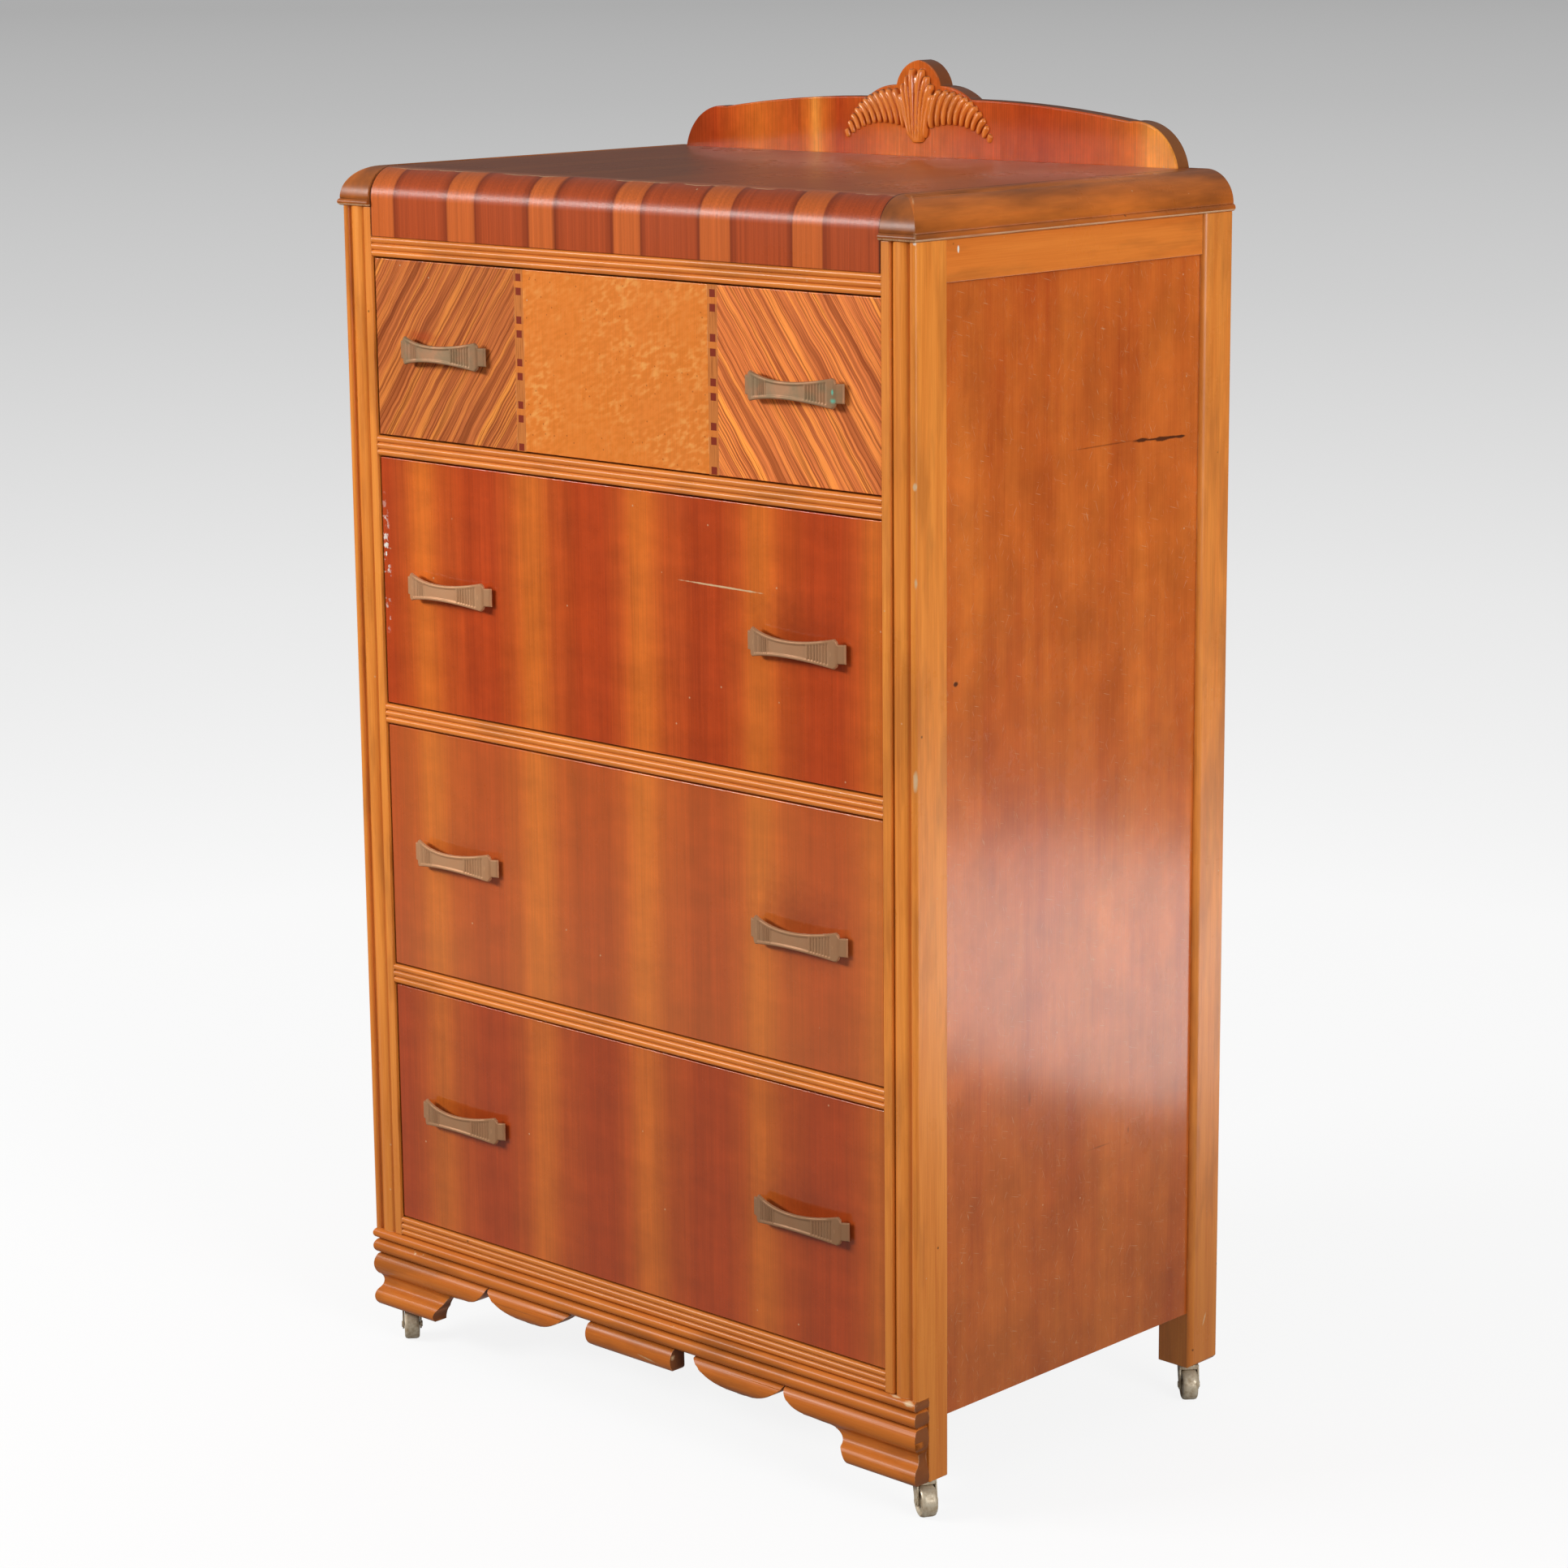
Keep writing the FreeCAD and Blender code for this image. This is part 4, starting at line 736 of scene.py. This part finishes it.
def eased(node, material, ease):
    """Copy of a solid with its sharp outer edges rounded, as sandpaper leaves them."""
    least_turn, least_run, least_width = math.radians(40), 3 * ease, 2.5 * ease
    bm = bmesh.new()
    bm.from_mesh(frame["nodes"][node].data)
    bmesh.ops.remove_doubles(bm, verts=bm.verts, dist=0.002 * MM)
    bmesh.ops.dissolve_limit(bm, angle_limit=math.radians(0.5), verts=bm.verts, edges=bm.edges)
    sharp = []
    for edge in bm.edges:
        if not edge.is_manifold or not edge.is_convex or edge.calc_face_angle() < least_turn:
            continue
        run = edge.calc_length()
        if run > least_run and min(face.calc_area() for face in edge.link_faces) > least_width * run:
            sharp.append(edge)
    bmesh.ops.bevel(bm, geom=sharp, offset=ease, offset_type="OFFSET", affect="EDGES", segments=2, profile=0.5,
                    material=-1, clamp_overlap=False)
    piece = settle(bm, node + "_eased", node, material)
    even = piece.modifiers.new("even_shading", "WEIGHTED_NORMAL")
    even.keep_sharp = True


def arc_height(half_chord, rise, at):
    """Height of a circular arc over its chord, at a distance from the chord's middle."""
    radius = (half_chord ** 2 + rise ** 2) / (2 * rise)
    return math.sqrt(max(radius ** 2 - at ** 2, 0.0)) - (radius - rise)


def step_up(low, high, value):
    """Smooth step from 0 at low to 1 at high."""
    part = min(max((value - low) / (high - low), 0.0), 1.0)
    return part * part * (3 - 2 * part)


def pull_strap(bm, sizes, middle, reach, tall):
    """One cast pull: a bowed, waisted strap with a raised rim, a sunk panel, ribs and stepped end tabs."""
    half, flare, waist = sizes.pull_half, sizes.pull_flare, sizes.pull_waist
    tab = flare + sizes.pull_corner
    swell = tall - waist
    soft, step, slope, riser = 1.2 * MM, 0.8 * MM, 0.9 * MM, 0.4 * MM
    panel_end = sizes.rib_start - 2 * MM, sizes.rib_start - 0.6 * MM
    rib_end = sizes.rib_start + sizes.rib_pitch * sizes.rib_count
    shells = set()
    for back in (False, True):
        made = bmesh.ops.create_grid(bm, x_segments=156, y_segments=34, size=1.0)
        for vert in made["verts"]:
            along = vert.co.x * half
            side = abs(along)
            high = tall - arc_height(flare, swell, side)
            if side > flare:
                high = tall - (side - flare)
            if side > tab:
                high = sizes.pull_tab
            up = vert.co.y * high
            out = sizes.pull_stand + arc_height(half, reach - sizes.pull_stand, side)
            if back:
                out -= sizes.pull_strap
            else:
                rim = min(high - abs(up), half - side)
                inside = step_up(sizes.pull_rim, sizes.pull_rim + slope, rim)
                sunk = 1 - step_up(*panel_end, side)
                if sizes.rib_start <= side <= rib_end:
                    wave = (side - sizes.rib_start) / sizes.rib_pitch
                    sunk = 0.5 - 0.5 * math.cos(2 * math.pi * wave)
                drop = sizes.pull_relief * inside * sunk
                if rim < soft:
                    drop += soft - math.sqrt(soft ** 2 - (soft - rim) ** 2)
                drop += step * step_up(tab - riser, tab + riser, side)
                out -= drop
            vert.co = middle + Vector((along, -out, up))
        shells.update(made["verts"])
    rims = [edge for edge in bm.edges if edge.is_boundary and edge.verts[0] in shells]
    bmesh.ops.bridge_loops(bm, edges=rims)


def pull_boss(bm, middle, rise):
    """Tapered boss behind a pull that takes its bolt."""
    turn = Matrix.Rotation(math.radians(90), 4, "X")
    place = Matrix.Translation(middle + Vector((0, -rise / 2, 0)))
    bmesh.ops.create_cone(bm, cap_ends=True, segments=24, radius1=4.0 * MM, radius2=4.5 * MM, depth=rise,
                          matrix=place @ turn)


def bezier(points, at):
    """Point on a quadratic curve of three points in the plane."""
    keep = 1 - at
    return [keep * keep * a + 2 * keep * at * b + at * at * c for a, b, c in zip(*points)]


def lobe(bm, points, wide, rise):
    """Rounded flute along a curve in the board's plane; half widths and heights are given at its two ends."""
    nudge, blunt = 0.02, 4
    made = bmesh.ops.create_uvsphere(bm, u_segments=16, v_segments=22, radius=1.0)
    for vert in made["verts"]:
        at = (vert.co.z + 1) / 2
        here = bezier(points, at)
        ahead = bezier(points, min(at + nudge, 1.0))
        behind = bezier(points, max(at - nudge, 0.0))
        run = Vector((ahead[0] - behind[0], 0, ahead[1] - behind[1])).normalized()
        across = Vector((run.z, 0, -run.x))
        full = (1 - abs(vert.co.z) ** blunt) ** (1 / blunt)
        flat = full / max(math.hypot(vert.co.x, vert.co.y), TINY)
        side = vert.co.x * flat * (wide[0] + (wide[1] - wide[0]) * at)
        out = vert.co.y * flat * (rise[0] + (rise[1] - rise[0]) * at)
        vert.co = Vector((here[0], BOARD_FRONT, here[1])) + across * side + Vector((0, out, 0))


# Flutes of the plume: three points of the curve from the toe, half widths and heights at its ends, in millimetres.
MIDDLE_FLUTES = (
    (((0, 1), (0, 9), (0, 20)), (8.5, 10.5), (5.0, 5.5)),
    (((0, 6), (0, 34), (0, 64)), (10.0, 20.0), (3.5, 4.0)),
    (((0, 48), (0, 58), (0, 69)), (9.0, 8.0), (5.5, 4.5)),
)
SIDE_FLUTES = (
    (((1.9, 3), (1.6, 46), (6.6, 75)), (2.2, 4.6), (7.6, 8.8)),
    (((4.9, 3), (6.2, 38), (13.5, 68)), (2.1, 4.4), (7.0, 8.2)),
    (((7.7, 4), (10.4, 36), (19.0, 60)), (2.0, 4.6), (6.2, 8.6)),
    (((10.2, 6), (13.8, 32), (21.5, 50)), (2.0, 4.0), (5.2, 7.0)),
)
# Curves through the lower and the upper ends of a wing's ribs.
WING_BELOW = ((14, 14.5), (60, 30), (98, 1.5))
WING_ABOVE = ((26, 54), (83, 55), (98.5, 8))


def carved_plume(sizes, material):
    """Plume on the backboard: a fan of flutes bound at the toe, and two wings of ribs that shrink to their tips."""
    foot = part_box("carved_ornament")[0].z

    def flute(side, points, wide, rise):
        """Flute from plane points, half widths and heights in millimetres, on one side of the middle."""
        lobe(bm, [(side * x * MM, foot + z * MM) for x, z in points], [w * MM for w in wide], [h * MM for h in rise])

    bm = bmesh.new()
    for form in MIDDLE_FLUTES:
        flute(1, *form)
    for side in (-1, 1):
        for form in SIDE_FLUTES:
            flute(side, *form)
        for rib in range(sizes.wing_ribs):
            at = (rib + 0.5) / sizes.wing_ribs
            below = bezier(WING_BELOW, at)
            above = bezier(WING_ABOVE, at)
            lean = above[0] - below[0]
            bend = (below[0] + 0.08 * lean, below[1] + 0.66 * (above[1] - below[1]))
            small = 1 - 0.3 * at
            flute(side, [below, bend, above], (3.7 * small, 4.9 * small), (5.2 - 2.6 * at, 7.0 - 3.4 * at))
    piece = settle(bm, "carved_plume", "carved_ornament", material, 60.0)
    clay = piece.modifiers.new("one_skin", "REMESH")
    clay.mode = "VOXEL"
    clay.voxel_size = sizes.carve_grain
    clay.use_smooth_shade = True
    rub = piece.modifiers.new("rubbed", "SMOOTH")
    rub.factor = 0.5
    rub.iterations = 2
    skin = bpy.data.meshes.new_from_object(piece.evaluated_get(bpy.context.evaluated_depsgraph_get()))
    piece.modifiers.clear()
    bm = bmesh.new()
    bm.from_mesh(skin)
    cut = bmesh.ops.bisect_plane(bm, geom=bm.verts[:] + bm.edges[:] + bm.faces[:], dist=TINY,
                                 plane_co=(0, BOARD_FRONT, 0), plane_no=(0, 1, 0), clear_outer=True)
    rims = [part for part in cut["geom_cut"] if isinstance(part, bmesh.types.BMEdge)]
    bmesh.ops.holes_fill(bm, edges=rims)
    bm.to_mesh(piece.data)
    bm.free()
    bpy.data.meshes.remove(skin)
    piece.data.shade_smooth()


# Half section of a caster wheel: distances from the axle and from the middle, in millimetres, at this radius and width.
PROFILE_RADIUS, PROFILE_HALF = 15.0, 7.5
WHEEL_PROFILE = ((2.1, 7.3), (4.6, 7.5), (5.2, 6.6), (10.2, 5.6), (11.6, 6.9), (13.0, 7.4), (14.4, 6.4), (15.0, 4.2),
                 (15.0, 0.0))


def caster_wheel(name, material):
    """Turned caster wheel: crowned tread with eased shoulders, dished sides and a raised hub."""
    node = "caster_wheel_" + name
    low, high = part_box(node)
    axis = next(joint for joint in frame["joints"] if joint["name"] == "caster_roll_" + name)
    spindle = Vector(axis["axis"]).normalized()
    middle = (low + high) / 2
    radius = (high.z - low.z) / 2
    half = bpy.context.scene.dresser_sizes.wheel_half
    bm = bmesh.new()
    verts = []
    for sign in (1, -1):
        for out, along in WHEEL_PROFILE if sign > 0 else WHEEL_PROFILE[-2::-1]:
            verts.append(bm.verts.new((out * radius / PROFILE_RADIUS, 0, sign * along * half / PROFILE_HALF)))
    edges = [bm.edges.new(pair) for pair in zip(verts, verts[1:])]
    edges.append(bm.edges.new((verts[-1], verts[0])))
    bmesh.ops.spin(bm, geom=verts + edges, cent=(0, 0, 0), axis=(0, 0, 1), angle=math.tau, steps=48, use_merge=True)
    bmesh.ops.remove_doubles(bm, verts=bm.verts, dist=0.005 * MM)
    bmesh.ops.recalc_face_normals(bm, faces=bm.faces)
    turn = Vector((0, 0, 1)).rotation_difference(spindle).to_matrix().to_4x4()
    bmesh.ops.transform(bm, matrix=Matrix.Translation(middle) @ turn, verts=bm.verts)
    settle(bm, node + "_turned", node, material, 40.0)


# Place, aim, width and height in metres, and power in watts, of the studio lamps.
LAMPS = {
    "front_softbox": ((-2.5, -3.3, 2.25), (0, -0.2, 0.8), 2.2, 0.6, 155.0),
    "side_softbox": ((4.3, -0.9, 1.8), (0.3, 0, 0.8), 2.0, 2.0, 116.0),
    "floor_softbox": ((1.5, 1.45, 0.03), (1.5, 1.45, 1.0), 1.1, 1.1, 13.0),
}
FLOOR_HALF = 140.0
SKY_STRENGTH = 0.7
# Camera that sees the object as the photograph does: place in metres, heading, dip and roll in degrees, lens in mm.
EYE = (2.7014, -2.8541, 1.4824)
HEADING, DIP, ROLL = 43.32, 12.39, -0.54
FOCAL, SENSOR = 91.9, 36.0


def lamp(name, place, aim, wide, tall, power):
    """Soft studio lamp of a given width and height, turned to a point of the object."""
    data = bpy.data.lights.new(name, "AREA")
    data.shape = "RECTANGLE"
    data.size = wide
    data.size_y = tall
    data.energy = power
    piece = bpy.data.objects.new(name, data)
    piece.location = place
    piece.rotation_euler = (Vector(aim) - Vector(place)).to_track_quat("-Z", "Y").to_euler()
    piece.visible_camera = False
    bpy.context.scene.collection.objects.link(piece)


def studio_floor():
    """Matt paper sweep: white round the object, greying with distance, shadowed by it, dimmer in reflections."""
    material, tree, shader = begin("studio_paper")
    tree.nodes.remove(shader)
    source = add(tree, "TexCoord", out="Object")
    far = add(tree, "VectorMath", {0: source}, out="Value", operation="LENGTH")
    place = add(tree, "Math", {0: far, 1: 10.0}, operation="LOGARITHM")
    place = add(tree, "Math", {0: place, 1: 0.5}, operation="MULTIPLY")
    seen = add(tree, "ValToRGB", {0: place}, stops=[
        (0.02, linear("ffffff")), (0.884, linear("afafaf")), (0.166, linear("ffffff")), (0.345, linear("f0f0f0")),
        (0.534, linear("d5d5d5")), (0.72, linear("bebebe"))])
    sheet = add(tree, "MapRange", {"Value": far, "From Min": 2.2, "From Max": 3.2, "To Min": 0.3, "To Max": 0.05})
    seen_by = [add(tree, "LightPath", out="Is %s Ray" % kind) for kind in ("Camera", "Transmission")]
    reflected = add(tree, "LightPath", out="Is Glossy Ray")
    glow = add(tree, "Emission", {"Color": seen, "Strength": 1.0})
    paper = add(tree, "BsdfDiffuse", {"Color": linear("f4f4f4")})
    shown = add(tree, "MixShader", {0: 0.13, 1: glow, 2: paper})
    mirrored = add(tree, "Emission", {"Color": linear("ffffff"), "Strength": sheet})
    boards = add(tree, "BsdfDiffuse", {"Color": linear("8c8780")})
    bounced = add(tree, "MixShader", {0: reflected, 1: boards, 2: mirrored})
    whole = add(tree, "MixShader", {0: any_of(tree, seen_by), 1: bounced, 2: shown})
    wire(tree, tree.nodes["Material Output"], {"Surface": whole})
    return material


class DRESSER_OT_posts(bpy.types.Operator):
    """Amber posts, side rails and reeded front rails"""
    bl_idname = "dresser.posts"
    bl_label = "Posts and rails"

    def execute(self, context):
        ease = context.scene.dresser_sizes.edge_ease
        for side in SIDES:
            eased("front_post_" + side, finish(amber_gumwood, "posts"), ease)
            eased("rear_post_" + side, finish(amber_gumwood, "rear_posts"), ease)
        eased("side_rails", finish(amber_gumwood, "side_rails"), ease)
        for node in ("front_rail_top", "drawer_rail_1", "drawer_rail_2", "drawer_rail_3", "front_rail_bottom"):
            dress(node, finish(amber_gumwood, "rails"))
        return {"FINISHED"}


class DRESSER_OT_panels(bpy.types.Operator):
    """Veneered side panels"""
    bl_idname = "dresser.panels"
    bl_label = "Side panels"

    def execute(self, context):
        for side in SIDES:
            dress("side_panel_" + side, finish(side_walnut))
        return {"FINISHED"}


class DRESSER_OT_top(bpy.types.Operator):
    """Rolled top and its side mouldings"""
    bl_idname = "dresser.top"
    bl_label = "Top"

    def execute(self, context):
        ease = context.scene.dresser_sizes.edge_ease
        eased("top_panel", finish(rolled_walnut), ease)
        for side in SIDES:
            eased("top_moulding_" + side, finish(amber_gumwood, "top_moulding"), ease)
        return {"FINISHED"}


class DRESSER_OT_backboard(bpy.types.Operator):
    """Arched backboard and its carved plume"""
    bl_idname = "dresser.backboard"
    bl_label = "Backboard"

    def execute(self, context):
        sizes = context.scene.dresser_sizes
        eased("backboard", finish(board_walnut), sizes.board_ease)
        carved_plume(sizes, finish(amber_gumwood, "carving"))
        return {"FINISHED"}


class DRESSER_OT_base(bpy.types.Operator):
    """Beaded base moulding with its scalloped edge"""
    bl_idname = "dresser.base"
    bl_label = "Base moulding"

    def execute(self, context):
        eased("base_moulding", finish(amber_gumwood, "base_moulding"), context.scene.dresser_sizes.edge_ease)
        return {"FINISHED"}


class DRESSER_OT_drawers(bpy.types.Operator):
    """Drawer fronts, the inlaid strips and the drawers' bare insides"""
    bl_idname = "dresser.drawers"
    bl_label = "Drawers"

    def execute(self, context):
        ease = context.scene.dresser_sizes.edge_ease
        for number in DRAWERS:
            name = "drawer_%d" % number
            face = finish(drawer_marquetry) if number == 1 else finish(banded_walnut)
            eased(name + "_front", face, ease)
            dress(name + "_sides", finish(bare_wood, "poplar", "Y"))
            dress(name + "_guide_strips", finish(bare_wood, "poplar", "Y"))
            dress(name + "_back", finish(bare_wood, "poplar", "X"))
            dress(name + "_bottom", finish(bare_wood, "plywood", "X"))
        dress("drawer_1_inlay", finish(inlay_strip))
        return {"FINISHED"}


class DRESSER_OT_pulls(bpy.types.Operator):
    """Cast pulls and their bolts"""
    bl_idname = "dresser.pulls"
    bl_label = "Pulls"

    def execute(self, context):
        sizes = context.scene.dresser_sizes
        for number in DRAWERS:
            node = "drawer_%d_pulls" % number
            low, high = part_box(node)
            reach = high.y - low.y
            tall = (high.z - low.z) / 2
            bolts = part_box("drawer_%d_pull_bolts" % number)
            bolt_radius = (bolts[1].z - bolts[0].z) / 2
            bm = bmesh.new()
            for side in (-1, 1):
                middle = Vector((side * (high.x - sizes.pull_half), FACE, (low.z + high.z) / 2))
                pull_strap(bm, sizes, middle, reach, tall)
                spread = bolts[1].x - bolt_radius - (high.x - sizes.pull_half)
                bow = arc_height(sizes.pull_half, reach - sizes.pull_stand, spread)
                rise = sizes.pull_stand + bow - sizes.pull_strap * 2 / 3
                for end in (-1, 1):
                    pull_boss(bm, middle + Vector((end * spread, 0, 0)), rise)
            bmesh.ops.recalc_face_normals(bm, faces=bm.faces)
            settle(bm, "drawer_%d_cast_pulls" % number, node, finish(antique_bronze), 50.0)
            dress("drawer_%d_pull_bolts" % number, finish(worn_steel))
        return {"FINISHED"}


class DRESSER_OT_casters(bpy.types.Operator):
    """Caster forks, wheels and sockets"""
    bl_idname = "dresser.casters"
    bl_label = "Casters"

    def execute(self, context):
        for name in CASTERS:
            eased("caster_fork_" + name, finish(worn_steel), context.scene.dresser_sizes.fork_ease)
            caster_wheel(name, finish(worn_steel))
        dress("caster_sockets", finish(worn_steel))
        return {"FINISHED"}


class DRESSER_OT_inside(bpy.types.Operator):
    """Bare wood of the back, the rear rails, the runners and the guides"""
    bl_idname = "dresser.inside"
    bl_label = "Back and inside"

    def execute(self, context):
        dress("back_panel", finish(bare_wood, "plywood", "Z"))
        dress("rear_rails", finish(bare_wood, "poplar", "X"))
        dress("drawer_runners", finish(bare_wood, "poplar", "Y"))
        dress("centre_guides", finish(bare_wood, "poplar", "Y"))
        return {"FINISHED"}


class DRESSER_OT_stage(bpy.types.Operator):
    """Floor, lamps, world and camera"""
    bl_idname = "dresser.stage"
    bl_label = "Stage"

    def execute(self, context):
        scene = context.scene
        bm = bmesh.new()
        bmesh.ops.create_grid(bm, x_segments=2, y_segments=2, size=FLOOR_HALF)
        mesh = bpy.data.meshes.new("floor")
        bm.to_mesh(mesh)
        bm.free()
        mesh.materials.append(studio_floor())
        floor = bpy.data.objects.new("floor", mesh)
        scene.collection.objects.link(floor)
        for name, settings in LAMPS.items():
            lamp(name, *settings)
        world = bpy.data.worlds.new("studio")
        world.use_nodes = True
        tree = world.node_tree
        height = add(tree, "SeparateXYZ", {0: add(tree, "TexCoord", out="Generated")}, out="Z")
        sky = add(tree, "ValToRGB", {0: height}, stops=[
            (0.0, linear("4a4644")), (1.0, linear("d8d8d8")), (0.12, linear("55504e")), (0.4, linear("a8a8a8"))])
        wire(tree, tree.nodes["Background"], {"Color": sky, "Strength": SKY_STRENGTH})
        scene.world = world
        yaw, pitch, roll = (math.radians(angle) for angle in (HEADING, DIP, ROLL))
        ahead = Vector((-math.sin(yaw) * math.cos(pitch), math.cos(yaw) * math.cos(pitch), -math.sin(pitch)))
        right = Vector((math.cos(yaw), math.sin(yaw), 0))
        up = right.cross(ahead)
        tilted_right = math.cos(roll) * right + math.sin(roll) * up
        tilted_up = math.cos(roll) * up - math.sin(roll) * right
        lens = bpy.data.cameras.new("camera")
        lens.sensor_width = SENSOR
        lens.lens = FOCAL
        camera = bpy.data.objects.new("camera", lens)
        turn = Matrix((tilted_right, tilted_up, -ahead)).transposed().to_4x4()
        camera.matrix_world = Matrix.Translation(EYE) @ turn
        scene.collection.objects.link(camera)
        scene.camera = camera
        scene.view_settings.view_transform = "Standard"
        return {"FINISHED"}


OPERATORS = (
    DRESSER_OT_posts, DRESSER_OT_panels, DRESSER_OT_top, DRESSER_OT_backboard, DRESSER_OT_base,
    DRESSER_OT_drawers, DRESSER_OT_pulls, DRESSER_OT_casters, DRESSER_OT_inside, DRESSER_OT_stage,
)


class DRESSER_PT_build(bpy.types.Panel):
    """Lists the dresser's build steps"""
    bl_idname = "DRESSER_PT_build"
    bl_label = "Waterfall dresser"
    bl_space_type = "VIEW_3D"
    bl_region_type = "UI"
    bl_category = "Dresser"

    def draw(self, context):
        for step in OPERATORS:
            self.layout.operator(step.bl_idname)


CLASSES = (DresserSizes, DresserColours) + OPERATORS + (DRESSER_PT_build,)


def register():
    for item in CLASSES:
        bpy.utils.register_class(item)
    bpy.types.Scene.dresser_sizes = PointerProperty(type=DresserSizes)
    bpy.types.Scene.dresser_colours = PointerProperty(type=DresserColours)


def unregister():
    del bpy.types.Scene.dresser_colours
    del bpy.types.Scene.dresser_sizes
    for item in reversed(CLASSES):
        bpy.utils.unregister_class(item)


def main():
    register()
    for step in OPERATORS:
        name = step.bl_idname.split(".")[1]
        getattr(bpy.ops.dresser, name)()


if __name__ == "__main__":
    main()
